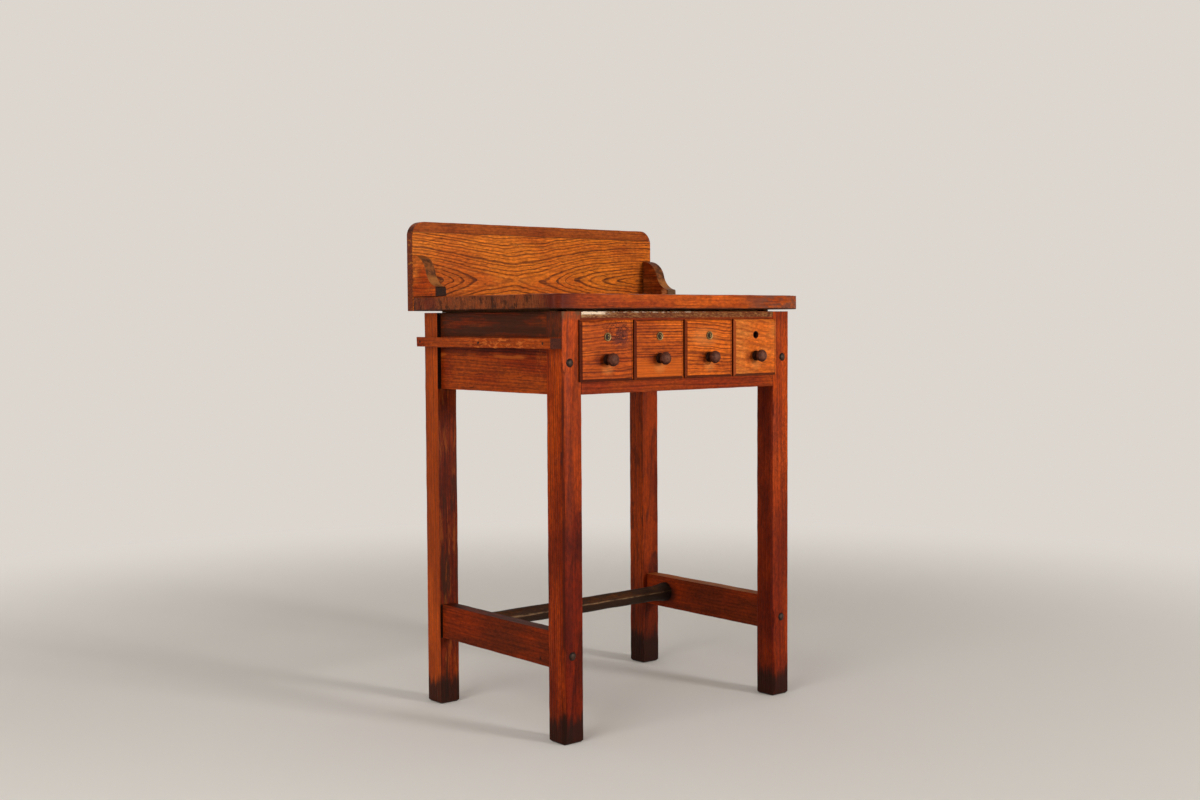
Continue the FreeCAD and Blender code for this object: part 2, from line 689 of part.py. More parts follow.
def wood_screw(name, x, y, z, turn, length):
    """A countersunk screw whose head is flush at x, y, z and whose shank follows the turn."""
    shank = rod(name + "_shank", "screw_radius", length, x, y, z, turn)
    head = document.addObject("Part::Cone", name + "_head")
    head.setExpression("Radius1", bound("screw_head_radius"))
    head.setExpression("Radius2", bound("screw_radius"))
    head.setExpression("Height", bound("screw_head_depth"))
    place(head, x, y, z, turn)
    return fuse(name, shank, head)


def make_top_screws():
    """Screws up into the top, through the front top rail and through the kickers."""
    screws = []
    for count in DRAWERS[:-1]:
        x = "(opening_right_%d + opening_left_%d) / 2" % (count, count + 1)
        length = "top_rail_height + packing_thickness + top_screw_grip"
        for row, y in (("front", "(front_face + divider_depth + rail_back) / 2"),
                       ("rear", "apron_front - packing_setback - packing_width / 2")):
            name = "top_screw_%s_%d" % (row, count)
            screws.append(wood_screw(name, x, y, "opening_roof", UPRIGHT, length))
    return keep(fuse("top_screws", *screws))


def make_backboard_screws():
    """Screws through the backboard into the rear edge of the top."""
    screws = []
    spaces = 4
    for count in range(spaces + 1):
        x = "top_left + screw_margin + (top_length - 2 * screw_margin) * %d / %d" % (count, spaces)
        screws.append(wood_screw(
            "backboard_screw_%d" % count, x, "backboard_front + backboard_thickness",
            "top_underside + top_thickness / 2", TURNED_TO_FRONT, "backboard_thickness + screw_grip"))
    return keep(fuse("backboard_screws", *screws))


def bracket_middle(end):
    return "top_left + bracket_thickness / 2" if end == "left" else "top_right - bracket_thickness / 2"


def make_bracket_screws():
    """Two screws through the backboard and two up through the top, for each bracket."""
    screws = []
    for end in ENDS:
        x = bracket_middle(end)
        for level in ("low", "high"):
            screws.append(wood_screw(
                "bracket_screw_%s_%s" % (end, level), x, "backboard_front + backboard_thickness",
                "top_surface + bracket_screw_" + level, TURNED_TO_FRONT,
                "backboard_thickness + screw_grip"))
        for count in (0, 1):
            y = "backboard_front - bracket_foot_screw - bracket_foot_pitch * %d" % count
            screws.append(wood_screw(
                "bracket_foot_screw_%s_%d" % (end, count), x, y, "top_underside", UPRIGHT,
                "top_thickness + bracket_foot_grip"))
    return keep(fuse("bracket_screws", *screws))


# ---- top, backboard, brackets, ledge, foot rail -------------------------------------------------

def make_top(screws):
    body = document.addObject("PartDesign::Body", "top_board_blank")
    corners = [
        ("top_corner", "0", None),
        ("top_length - top_corner", "0", ("top_corner", 1)),
        ("top_length", "top_corner", None),
        ("top_length", "top_depth", None),
        ("0", "top_depth", None),
        ("0", "top_corner", ("top_corner", 1))]
    blank = pad(body, outline(body, "XY_Plane", corners), "top_thickness")
    ease(body, blank, "top_arris")
    place(body, "top_left", "front_face - front_overhang", "top_underside")
    keep(cut("top_board", body, *screws))


def make_packing_strips(screws):
    """Thin strips on the rails and aprons, which the top stands on."""
    z = ("leg_height", "packing_thickness")
    width = ("inner_left", "inner_width")
    depth = ("inner_front", "inner_depth")
    strips = [
        block("packing_front", width, ("rail_back - packing_width", "packing_width"), z),
        block("packing_rear", width, ("apron_front + packing_setback", "packing_width"), z),
        block("packing_left", ("left_face + apron_inset + packing_setback", "packing_width"), depth, z),
        block("packing_right",
              ("right_face - apron_inset - packing_setback - packing_width", "packing_width"), depth, z)]
    keep(cut("top_packing_strips", group("packing_blanks", *strips), screws))


def make_backboard(screws):
    """The backboard with rounded upper corners, and the strip glued along its top."""
    body = document.addObject("PartDesign::Body", "backboard_blank")
    corners = [
        ("0", "0", None),
        ("top_length", "0", None),
        ("top_length", "backboard_height - backboard_corner", ("backboard_corner", 1)),
        ("top_length - backboard_corner", "backboard_height", None),
        ("backboard_corner", "backboard_height", ("backboard_corner", 1)),
        ("0", "backboard_height - backboard_corner", None)]
    blank = pad(body, outline(body, "XZ_Plane", corners), "backboard_thickness")
    ease(body, blank, "backboard_arris")
    place(body, "top_left", "backboard_front + backboard_thickness", "top_underside")
    upper = block(
        "top_strip_zone", ("top_left", "top_length"), ("backboard_front", "backboard_thickness"),
        ("top_strip_underside", "top_strip_height"))
    strip = document.addObject("Part::Common", "backboard_top_strip")
    strip.Base = body
    strip.Tool = upper
    keep(strip)
    keep(cut("backboard", body, upper, *screws))


def make_bracket(end, screws):
    """A bracket cut to an ogee, its outer face flush with the end of the top."""
    body = document.addObject("PartDesign::Body", "bracket_%s_blank" % end)
    corners = [
        ("0", "0", None),
        ("0 - bracket_reach", "0", None),
        ("0 - bracket_reach", "toe_rise - toe_radius", ("toe_radius", -1)),
        ("0 - bracket_reach + toe_radius", "toe_rise", ("hollow_curve", 1)),
        ("0 - break_reach", "break_rise", ("shoulder_curve", -1)),
        ("0", "bracket_rise", None)]
    pad(body, outline(body, "YZ_Plane", corners), "bracket_thickness")
    x = "top_left" if end == "left" else "top_right - bracket_thickness"
    place(body, x, "backboard_front", "top_surface")
    keep(cut("bracket_" + end, body, screws))


def make_ledge():
    """The tool ledge: nailed to the left legs, notched over them and reaching back to the apron."""
    whole = board(
        "side_ledge_board", ("left_face - ledge_reach", "ledge_reach + apron_inset"),
        ("front_face", "ledge_length"), ("ledge_underside", "ledge_thickness"), ALONG_Y)
    notches = [
        block("ledge_notch_" + row, (x, "leg_width"), (y, "leg_width"), ("0", "leg_height"))
        for row in ("front", "rear") for x, y in (leg_corner("left", row),)]
    nails = []
    z = "ledge_underside + ledge_thickness / 2"
    for count, y in enumerate(("front_face + leg_width / 2", "middle_y", "rear_face - leg_width / 2")):
        shank = rod("nail_%d_shank" % count, "nail_radius", "nail_length", "left_face - ledge_reach", y,
                    z, TURNED_TO_RIGHT)
        head = rod("nail_%d_head" % count, "nail_head_radius", "nail_head_depth",
                   "left_face - ledge_reach", y, z, TURNED_TO_RIGHT)
        nails.append(fuse("nail_%d" % count, shank, head))
    driven = keep(group("side_ledge_nails", *nails))
    keep(cut("side_ledge", whole, *notches, driven))
    return driven


def make_foot_rail():
    """A turned rail, worn thinner between its ends, with a round tenon at each end."""
    body = document.addObject("PartDesign::Body", "foot_rail_turning")
    worn = "foot_rail_end + foot_rail_taper"
    corners = [
        ("0", "0", None),
        ("stretcher_gap", "0", None),
        ("stretcher_gap", "foot_rail_end_radius", None),
        ("stretcher_gap - foot_rail_end", "foot_rail_end_radius", None),
        ("stretcher_gap - (%s)" % worn, "foot_rail_radius", None),
        (worn, "foot_rail_radius", None),
        ("foot_rail_end", "foot_rail_end_radius", None),
        ("0", "foot_rail_end_radius", None)]
    turn_round(body, outline(body, "XZ_Plane", corners), "H_Axis")
    place(body, "foot_rail_left", "foot_rail_y", "foot_rail_height")
    tenons = rod(
        "foot_rail_tenons", "foot_rail_tenon_radius", "stretcher_gap + 2 * foot_rail_tenon_length",
        "foot_rail_left - foot_rail_tenon_length", "foot_rail_y", "foot_rail_height", TURNED_TO_RIGHT)
    return keep(fuse("foot_rail", body, tenons))


# ---- drawers ------------------------------------------------------------------------------------

def front_middle(count):
    return "front_left_%d + front_width_%d / 2" % (count, count)


def drawer_sides(count):
    """Both sides of a drawer before they are grooved, with dovetails on their front ends."""
    pieces = []
    starts = ("opening_left_%d + side_gap" % count,
              "opening_right_%d - side_gap - side_thickness" % count)
    for end, x in zip(ENDS, starts):
        name = "drawer_%d_side_%s" % (count, end)
        pieces.append(block(
            name, (x, "side_thickness"), ("tongue_rear", "box_rear - tongue_rear"),
            ("box_floor", "side_height")))
        for tail in range(TAILS):
            wedge = document.addObject("Part::Wedge", "%s_tail_%d" % (name, tail))
            level = "box_floor + side_height * %d / %d" % (2 * tail + 1, 2 * TAILS)
            for corner, formula in (
                    ("Xmin", x), ("X2min", x),
                    ("Xmax", x + " + side_thickness"), ("X2max", x + " + side_thickness"),
                    ("Ymin", "front_face"), ("Ymax", "tongue_rear"),
                    ("Zmin", level + " - tail_tip / 2"), ("Zmax", level + " + tail_tip / 2"),
                    ("Z2min", level + " - tail_root / 2"), ("Z2max", level + " + tail_root / 2")):
                wedge.setExpression(corner, bound(formula))
            pieces.append(wedge)
    return fuse("drawer_%d_sides_blank" % count, *pieces)


def drawer_front_blank(count):
    """A front with a bevel all round its face and a tongue that enters the opening."""
    left = "front_left_%d" % count
    width = "front_width_%d" % count
    name = "drawer_%d_front" % count
    slab = block(
        name + "_slab", (left, width),
        ("drawer_face + bevel_depth", "front_proud - bevel_depth - seat_gap"),
        ("front_bottom", "front_height"))
    field = document.addObject("Part::Wedge", name + "_field")
    right = left + " + " + width
    top = "front_bottom + front_height"
    for corner, formula in (
            ("Xmin", left + " + bevel_width"), ("Xmax", right + " - bevel_width"),
            ("X2min", left), ("X2max", right),
            ("Ymin", "drawer_face"), ("Ymax", "drawer_face + bevel_depth"),
            ("Zmin", "front_bottom + bevel_width"), ("Zmax", top + " - bevel_width"),
            ("Z2min", "front_bottom"), ("Z2max", top)):
        field.setExpression(corner, bound(formula))
    tongue = block(
        name + "_tongue",
        ("opening_left_%d + side_gap" % count,
         "opening_right_%d - opening_left_%d - 2 * side_gap" % (count, count)),
        ("front_face - seat_gap", "tongue_thickness + seat_gap"),
        ("box_floor", "opening_roof - head_gap - box_floor"))
    return fuse(name + "_blank", slab, field, tongue)


def make_knob(count):
    """A turned knob with a hollow neck, a rolled head and a spigot that is glued into the front."""
    body = document.addObject("PartDesign::Body", "drawer_%d_knob" % count)
    corners = [
        ("0", "0 - knob_spigot_length", None),
        ("knob_spigot_radius", "0 - knob_spigot_length", None),
        ("knob_spigot_radius", "0", None),
        ("knob_base_radius", "0", None),
        ("knob_base_radius", "knob_base_length", ("knob_neck_curve", -1)),
        ("knob_neck_radius", "knob_neck_length", ("knob_head_curve", 1)),
        ("knob_crown_radius", "knob_crown_start", ("knob_crown_curve", 1)),
        ("0", "knob_length", None)]
    turn_round(body, outline(body, "XZ_Plane", corners), "V_Axis")
    return keep(place(body, front_middle(count), "drawer_face", "knob_height", TURNED_TO_FRONT))


def lock_rod(name, radius, start, end, count):
    """A cylinder on a lock's axis, from one depth to another."""
    return rod(name, radius, "(%s) - (%s)" % (end, start), front_middle(count), start, "lock_height",
               TURNED_TO_REAR)


def make_lock(count):
    """A cylinder lock: ring and barrel with a ring nut, and a plug that carries the cam."""
    name = "lock_%d" % count
    ring_face = "drawer_face - ring_proud"
    ring = lock_rod(name + "_ring", "ring_radius", ring_face, "drawer_face", count)
    barrel = lock_rod(name + "_barrel", "barrel_radius", "drawer_face", "barrel_end", count)
    solid_case = fuse(name + "_solid_case", ring, barrel)
    bore = lock_rod(name + "_bore", "plug_radius + plug_gap", ring_face, "barrel_end", count)
    nut = lock_rod(
        name + "_nut_blank", "ring_nut_radius", "tongue_rear", "tongue_rear + ring_nut_thickness", count)
    keep(group(name + "_case", cut(name + "_body", solid_case, bore), cut(name + "_nut", nut, barrel)))

    plug = lock_rod(name + "_plug_rod", "plug_radius", ring_face + " + plug_recess", "plug_end", count)
    cam = block(
        name + "_cam", (front_middle(count), "cam_length"), ("cam_front", "cam_thickness"),
        ("lock_height - cam_width / 2", "cam_width"))
    keyhole = block(
        name + "_keyhole", (front_middle(count) + " - keyhole_width / 2", "keyhole_width"),
        (ring_face + " + plug_recess", "keyhole_depth"),
        ("lock_height - keyhole_height / 2", "keyhole_height"))
    keep(cut(name + "_plug", fuse(name + "_plug_blank", plug, cam), keyhole))
    return barrel


def make_drawer(count):
    name = "drawer_%d" % count
    sides = drawer_sides(count)
    inside = ("opening_left_%d + side_gap + side_thickness - groove_depth" % count,
              "opening_right_%d - opening_left_%d - 2 * (side_gap + side_thickness - groove_depth)"
              % (count, count))
    bottom = keep(block(
        name + "_bottom", inside,
        ("tongue_rear - groove_depth", "box_rear - tongue_rear + groove_depth"),
        ("box_floor + bottom_lift", "bottom_thickness")))
    back = keep(block(
        name + "_back", inside, ("box_rear - back_setback - back_thickness", "back_thickness"),
        ("bottom_top", "box_floor + side_height - back_drop - bottom_top")))
    keep(cut(name + "_sides", sides, bottom, back))
    knob = make_knob(count)
    if count in LOCKED_DRAWERS:
        lock_hole = make_lock(count)
    else:
        lock_hole = lock_rod(name + "_bare_hole", "barrel_radius", "drawer_face", "tongue_rear", count)
    keep(cut(name + "_front", drawer_front_blank(count), sides, bottom, knob, lock_hole))


# ---- the whole bench ----------------------------------------------------------------------------

def make_bench():
    bolts, nut_slots, every_bolt = make_frame_bolts()
    top_screws = make_top_screws()
    backboard_screws = make_backboard_screws()
    bracket_screws = make_bracket_screws()
    nails = make_ledge()
    foot_rail = make_foot_rail()

    bottom_rail = front_rail("front_bottom_rail", "apron_underside", "bottom_rail_height")
    top_rail = front_rail("front_top_rail", "opening_roof", "top_rail_height")
    rear = rear_apron()
    aprons = {end: side_apron(end) for end in ENDS}
    stretchers = {end: side_stretcher(end) for end in ENDS}
    for end in ENDS:
        slots = nut_slots["apron", end]
        extra = [nails] if end == "left" else []
        keep(cut("apron_" + end, aprons[end], every_bolt, *slots, *extra))
        keep(cut("stretcher_" + end, stretchers[end], every_bolt, foot_rail,
                 *nut_slots["stretcher", end]))
    keep(group("front_bottom_rail", bottom_rail))
    keep(cut("front_top_rail", top_rail, top_screws, *cam_slots()))
    keep(cut("apron_rear", rear, nails))

    def joined(end, row):
        """Everything that enters one leg."""
        inside = [aprons[end], stretchers[end], *bolts[end, row]]
        inside += [bottom_rail, top_rail] if row == "front" else [rear]
        if end == "left":
            inside.append(nails)
        return inside

    make_legs(joined)
    keep(cut("drawer_kickers", make_bearers(), top_screws))
    make_dividers()
    make_packing_strips(top_screws)
    make_top([top_screws, backboard_screws, bracket_screws])
    make_backboard([backboard_screws, bracket_screws])
    for end in ENDS:
        make_bracket(end, bracket_screws)
    for count in DRAWERS:
        make_drawer(count)


def check_document():
    """Stop at any object that failed, or any sub-part without a sound shape."""
    document.recompute()
    for item in document.Objects:
        if "Invalid" in item.State or "Error" in item.State:
            raise RuntimeError("%s failed: %s" % (item.Label, item.State))
    for item in subparts:
        if item.Shape.isNull() or not item.Shape.isValid() or not item.Shape.Solids:
            raise RuntimeError(item.Label + " has no sound shape")


def write_parts():
    os.makedirs("parts", exist_ok=True)
    for item in subparts:
        item.Shape.exportStep("parts/%s.step" % item.Label)


fill_sheet()
make_bench()
check_document()
write_parts()
print(len(subparts), "sub-parts")
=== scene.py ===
import json
import math

import bmesh
import bpy
from bpy.props import FloatProperty, FloatVectorProperty, IntProperty, PointerProperty
from mathutils import Euler, Matrix, Vector, noise


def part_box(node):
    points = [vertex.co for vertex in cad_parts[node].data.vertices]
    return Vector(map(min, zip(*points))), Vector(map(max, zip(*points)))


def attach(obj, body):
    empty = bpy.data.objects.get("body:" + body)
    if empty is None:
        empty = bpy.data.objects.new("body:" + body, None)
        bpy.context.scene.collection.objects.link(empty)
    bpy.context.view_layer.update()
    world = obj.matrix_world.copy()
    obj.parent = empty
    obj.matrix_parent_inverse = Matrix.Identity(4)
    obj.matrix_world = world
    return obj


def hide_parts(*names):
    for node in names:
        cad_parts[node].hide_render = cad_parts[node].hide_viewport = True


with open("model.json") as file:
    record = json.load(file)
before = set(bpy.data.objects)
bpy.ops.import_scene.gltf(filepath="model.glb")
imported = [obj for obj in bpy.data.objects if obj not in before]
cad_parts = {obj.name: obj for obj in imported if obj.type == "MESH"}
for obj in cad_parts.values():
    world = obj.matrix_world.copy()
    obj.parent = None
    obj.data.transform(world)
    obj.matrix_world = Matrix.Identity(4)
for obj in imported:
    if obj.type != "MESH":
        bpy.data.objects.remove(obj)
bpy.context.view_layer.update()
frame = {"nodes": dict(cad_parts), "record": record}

bl_info = {
    "name": "Jeweller's bench finish",
    "version": (1, 0, 0),
    "blender": (4, 5, 0),
    "location": "3D View > Sidebar > Bench",
    "description": "Worn oak, turned knobs, drawer locks and hardware for the jeweller's bench",
    "category": "Object",
}

# Everything is in metres, in the bench's own frame: +Z up, the front towards -Y.

RECORD = frame["record"]
BODY_OF = {node: body for body, nodes in RECORD["behaviour"]["bodies"].items() for node in nodes}
DRAWERS = (1, 2, 3, 4)
LOCKED_DRAWERS = (1, 2, 3)
AXES = {"X": Vector((1, 0, 0)), "Y": Vector((0, 1, 0)), "Z": Vector((0, 0, 1))}

MERGE_DISTANCE = 1e-5
CUT_DISTANCE = 1e-6
# Angles between neighbouring faces: parts of one flat face, an arris that is seen as sharp, the
# same on a shallow bevel, and an arris that is square.
FLAT = math.radians(0.5)
CRISP = math.radians(35)
BEVEL_CRISP = math.radians(18)
SQUARE = math.radians(70)


def srgb(red, green, blue):
    """A colour as read off a screen, 0 to 255 a channel, in the scene's linear values."""
    def linear(value):
        share = value / 255
        return share / 12.92 if share <= 0.04045 else ((share + 0.055) / 1.055) ** 2.4
    return linear(red), linear(green), linear(blue)


# ---- what a user would change --------------------------------------------------------------------

def colour(name, words, red, green, blue):
    """A property that holds a colour, given as it is read off a screen."""
    return FloatVectorProperty(
        name=name, description=words, subtype="COLOR", size=3, min=0, max=1,
        default=srgb(red, green, blue))


def length(name, words, value):
    """A property that holds a length in metres."""
    return FloatProperty(
        name=name, description=words, subtype="DISTANCE", unit="LENGTH", default=value)


class BenchWoodColours(bpy.types.PropertyGroup):
    """The colours of the oak and of what has rubbed off on it."""
    board: colour("Backboard", "Varnished oak of the backboard", 206, 108, 20)
    board_deep: colour("Backboard, deep", "Redder patches of the backboard", 188, 88, 14)
    board_line: colour("Backboard lines", "Open grain of the backboard", 78, 34, 8)
    strip: colour("Top strip", "Strip along the top of the backboard", 156, 74, 18)
    strip_deep: colour("Top strip, deep", "Redder patches of the top strip", 134, 56, 12)
    strip_line: colour("Top strip lines", "Open grain of the top strip", 110, 48, 18)
    top: colour("Top", "Front edge and surface of the top", 186, 82, 14)
    top_deep: colour("Top, deep", "Redder patches of the top", 148, 56, 8)
    top_line: colour("Top lines", "Open grain of the top", 88, 34, 12)
    top_end: colour("Top end grain", "End grain of the top", 150, 76, 36)
    leg: colour("Legs", "Varnished oak of the legs", 172, 64, 5)
    leg_deep: colour("Legs, deep", "Redder streaks of the legs", 132, 42, 4)
    leg_line: colour("Leg lines", "Open grain of the legs", 66, 20, 2)
    apron: colour("Aprons", "Varnished oak of the aprons", 160, 64, 8)
    apron_line: colour("Apron lines", "Open grain of the aprons", 74, 24, 3)
    stretcher: colour("Stretchers", "Varnished oak of the stretchers", 96, 32, 4)
    stretcher_line: colour("Stretcher lines", "Open grain of the stretchers", 60, 18, 3)
    rail: colour("Front rails", "Varnished oak of the front rails", 148, 57, 4)
    ledge: colour("Ledge", "Varnished oak of the ledge", 156, 62, 8)
    ledge_light: colour("Ledge, rubbed", "Rubbed spots of the ledge", 204, 104, 42)
    bracket: colour("Brackets", "Varnished oak of the brackets", 214, 118, 42)
    bracket_edge: colour("Bracket edges", "Grimy sawn edges of the brackets", 96, 56, 32)
    front: colour("Drawer fronts", "Varnished oak of the drawer fronts", 202, 95, 20)
    front_deep: colour("Drawer fronts, deep", "Redder patches of the drawer fronts", 174, 74, 14)
    front_line: colour("Drawer front lines", "Open grain of the drawer fronts", 88, 28, 9)
    last_front: colour("Last front", "Paler oak of the last drawer front", 198, 112, 44)
    last_front_line: colour("Last front bands", "Soft grain of the last drawer front", 160, 72, 22)
    # Painted shade on the lower bevels of the fronts; also the thin dark lines at the right and top of their
    # fields.
    front_rim: colour("Drawer front rims", "Old varnish in the shade of the bevels", 62, 20, 8)
    bare: colour("Inner wood", "Unvarnished oak inside the carcass", 142, 100, 62)
    bare_line: colour("Inner wood lines", "Open grain of the inner wood", 104, 68, 40)
    box: colour("Drawer boxes", "Unvarnished wood of the drawer boxes", 186, 140, 90)
    # Also used, mixed with painted shade, above the ledge and round the knobs.
    grime: colour("Grime", "Old wax and dirt on handled wood", 58, 32, 18)
    # Also used for painted shade in the gaps between the drawer fronts and in recesses.
    soot: colour("Soot", "Black dirt in gaps and at the feet", 30, 15, 9)
    chip: colour("Chips", "Bare wood where the rail's edge is chipped", 238, 214, 184)
    knob: colour("Knobs", "Dark stained knobs", 86, 46, 32)
    knob_worn: colour("Knobs, worn", "Rubbed middle of the knobs", 118, 74, 56)
    knob_dark: colour("Knob grain", "Dark grain of the knobs", 50, 24, 16)
    foot_rail: colour("Foot rail", "Worn, dirty foot rail", 72, 39, 13)
    # Dirt in patches, and painted shade on the lower half of the foot rail.
    foot_rail_dirt_and_shade: colour("Foot rail, underside", "Dirt on the lower half of the foot rail", 44, 28, 18)
    # Rubbed ridges of the foot rail, which also stand for a painted highlight.
    foot_rail_wear_and_highlight: colour("Foot rail, worn", "Ridges of the foot rail that shoes rub", 140, 110, 78)


class BenchMetalColours(bpy.types.PropertyGroup):
    """The colours of the hardware."""
    brass: colour("Lock brass", "Tarnished brass of the lock rings", 156, 120, 62)
    brass_dark: colour("Brass tarnish", "Darkest tarnish of the brass", 46, 34, 20)
    steel: colour("Bolt steel", "Browned steel of the bolts", 36, 25, 18)
    # The lighter middle of the bolt and screw heads is a painted highlight.
    steel_highlight: colour("Bolt steel, worn", "Middle of the bolt heads", 60, 40, 26)


class BenchSizes(bpy.types.PropertyGroup):
    """Sizes that only the finish has."""
    arris: length("Arris", "Radius of a handled arris", 0.0009)
    wear: length("Wear", "Deepest wear of a board's arrises", 0.0007)
    top_wear: length("Top wear", "Deepest wear of the arrises of the top", 0.0018)
    wear_patch: length("Wear patch", "Length of one worn patch", 0.03)
    wear_step: length("Wear step", "Distance between the cross cuts that carry the wear", 0.018)
    pore_bump: length("Pore depth", "Depth of the open grain", 0.00035)
    bevel: length("Bevel", "Width of the bevel round a drawer front", 0.0055)
    lock_hole: length("Lock hole", "Radius of the hole for a drawer lock", 0.0075)
    slot_width: length("Screw slot width", "Width of the slot in a screw head", 0.0011)
    slot_depth: length("Screw slot depth", "Depth of the slot in a screw head", 0.0009)
    turning_steps: IntProperty(
        name="Turning steps", description="Steps round a turned piece", min=12, max=128, default=56)


class BenchStage(bpy.types.PropertyGroup):
    """Floor, lights and camera."""
    floor: colour("Floor", "Pale floor", 232, 227, 220)
    backdrop: colour("Backdrop", "Pale backdrop, as the camera sees it", 220, 214, 207)
    key: FloatProperty(name="Key light", description="Power of the main light, in watts", default=218)
    fill: FloatProperty(name="Fill light", description="Power of the fill light, in watts", default=50)
    ambient: FloatProperty(name="Ambient", description="Strength of the even light", default=0.42)
    camera_place: FloatVectorProperty(
        name="Camera", description="Place of the camera", subtype="TRANSLATION", unit="LENGTH",
        default=(-2.16991, -2.54084, 0.8474))
    heading: FloatProperty(
        name="Heading", description="Camera's heading, to the right of the bench's depth",
        subtype="ANGLE", default=math.radians(40.18))
    dip: FloatProperty(
        name="Dip", description="How far the camera looks down", subtype="ANGLE",
        default=math.radians(3.05))
    roll: FloatProperty(
        name="Roll", description="Camera's roll", subtype="ANGLE", default=math.radians(-0.31))
    lens: FloatProperty(name="Lens", description="Focal length in millimetres", default=45.06)


def woods():
    return bpy.context.scene.bench_woods


def metals():
    return bpy.context.scene.bench_metals


def sizes():
    return bpy.context.scene.bench_sizes


# ---- materials -----------------------------------------------------------------------------------

class Finish:
    """A material in the making. Its methods add nodes to it; masks run from 0 to 1."""

    def __init__(self, name, roughness, metallic=0.0, gloss=0.08):
        self.material = bpy.data.materials.new(name)
        self.material.use_nodes = True
        self.tree = self.material.node_tree
        self.surface = self.tree.nodes["Principled BSDF"]
        self.surface.inputs["Roughness"].default_value = roughness
        self.surface.inputs["Metallic"].default_value = metallic
        self.surface.inputs["Specular IOR Level"].default_value = gloss
        coordinates = self.tree.nodes.new("ShaderNodeTexCoord")
        self.place = coordinates.outputs["Object"]
        self.at = dict(zip("XYZ", self.split(self.place)))
        self.facing = dict(zip("XYZ", self.split(coordinates.outputs["Normal"])))
        self.colour = None
        self.height = None

    def feed(self, socket, value):
        """Link a node's output to the socket, or set the socket to a number or a colour."""
        if isinstance(value, bpy.types.NodeSocket):
            self.tree.links.new(value, socket)
        elif socket.type == "RGBA":
            socket.default_value = (*value[:3], 1)
        else:
            socket.default_value = value

    def node(self, kind, *inputs, **settings):
        """Add a node, set it up, feed its inputs in order and return its first output."""
        made = self.tree.nodes.new("ShaderNode" + kind)
        for name, value in settings.items():
            setattr(made, name, value)
        for socket, value in zip(made.inputs, inputs):
            self.feed(socket, value)
        return made.outputs[0]

    def split(self, vector):
        made = self.tree.nodes.new("ShaderNodeSeparateXYZ")
        self.feed(made.inputs[0], vector)
        return tuple(made.outputs)

    def join(self, x, y, z):
        return self.node("CombineXYZ", x, y, z)

    def calc(self, operation, *values):
        return self.node("Math", *values, operation=operation)

    def magnitude(self, vector):
        made = self.tree.nodes.new("ShaderNodeVectorMath")
        made.operation = "LENGTH"
        self.feed(made.inputs[0], vector)
        return made.outputs["Value"]

    def ramp(self, value, start, end, low=0.0, high=1.0):
        """A smooth step from `low` at `start` to `high` at `end`."""
        return self.node("MapRange", value, start, end, low, high, interpolation_type="SMOOTHSTEP")

    def cloud(self, place, detail, roughness, scale=1.0):
        """Noise at a place, from 0 to 1."""
        made = self.tree.nodes.new("ShaderNodeTexNoise")
        for name, value in (("Vector", place), ("Scale", scale), ("Detail", detail),
                            ("Roughness", roughness)):
            self.feed(made.inputs[name], value)
        return made.outputs[0]

    def patches(self, scale, shift=(0, 0, 0), detail=3.0, roughness=0.6):
        """Noise that is scaled along each axis and shifted, so that no two look alike."""
        place = self.node("VectorMath", self.place, scale, shift, operation="MULTIPLY_ADD")
        return self.cloud(place, detail, roughness)

    def series(self, value, scale):
        """Noise along one number."""
        made = self.tree.nodes.new("ShaderNodeTexNoise")
        made.noise_dimensions = "1D"
        self.feed(made.inputs["W"], value)
        self.feed(made.inputs["Scale"], scale)
        return made.outputs[0]

    def mix(self, amount, first, second, blend="MIX"):
        made = self.tree.nodes.new("ShaderNodeMix")
        made.data_type = "RGBA"
        made.blend_type = blend
        # A Mix node has its colours in sockets 6 and 7, and its mixed colour in output 2.
        for socket, value in ((0, amount), (6, first), (7, second)):
            self.feed(made.inputs[socket], value)
        return made.outputs[2]

    def both(self, *masks):
        """Where all the masks are: their product."""
        product = masks[0]
        for mask in masks[1:]:
            product = self.calc("MULTIPLY", product, mask)
        return product

    def stain(self, mask, stain_colour, strength=1.0):
        """Cover the colour where the mask is, as far as the strength."""
        if strength < 1:
            mask = self.calc("MULTIPLY", mask, strength)
        self.colour = self.mix(mask, self.colour, stain_colour)

    def shade(self, mask, red, green, blue):
        """Multiply the colour where the mask is, so that the grain stays."""
        self.colour = self.mix(mask, self.colour, (red, green, blue), "MULTIPLY")

    def faces(self, axis, sign, least=0.8, soft=0.15):
        """1 on the surfaces that face along an axis, to the side that the sign gives."""
        along = self.calc("MULTIPLY", self.facing[axis], sign)
        return self.ramp(along, least - soft, least)

    def band(self, value, low, high, soft):
        """1 between low and high, 0 beyond, with soft ends."""
        return self.both(self.ramp(value, low - soft, low + soft),
                         self.ramp(value, high + soft, high - soft))

    def near(self, point, radius, flatten=(1, 1, 1)):
        """1 up to a quarter of the radius from a point, falling to 0 at the radius.

        Flatten scales the distance along each axis, so that the spot is oval.
        """
        offset = self.node("VectorMath", self.place, tuple(point), operation="SUBTRACT")
        scaled = self.node("VectorMath", offset, flatten, operation="MULTIPLY")
        return self.ramp(self.magnitude(scaled), radius, radius * 0.25)

    def from_axis(self, point):
        """The distance from a line through the point that runs from front to back."""
        offset = self.node("VectorMath", self.place, tuple(point), operation="SUBTRACT")
        return self.magnitude(self.node("VectorMath", offset, (1, 0, 1), operation="MULTIPLY"))

    def seam(self, axis, place):
        """Dirt in the joint that lies in a plane across the axis."""
        width = 0.0007
        joint = self.band(self.at[axis], place - width, place + width, 0.6 * width)
        self.stain(joint, woods().soot, 0.9)

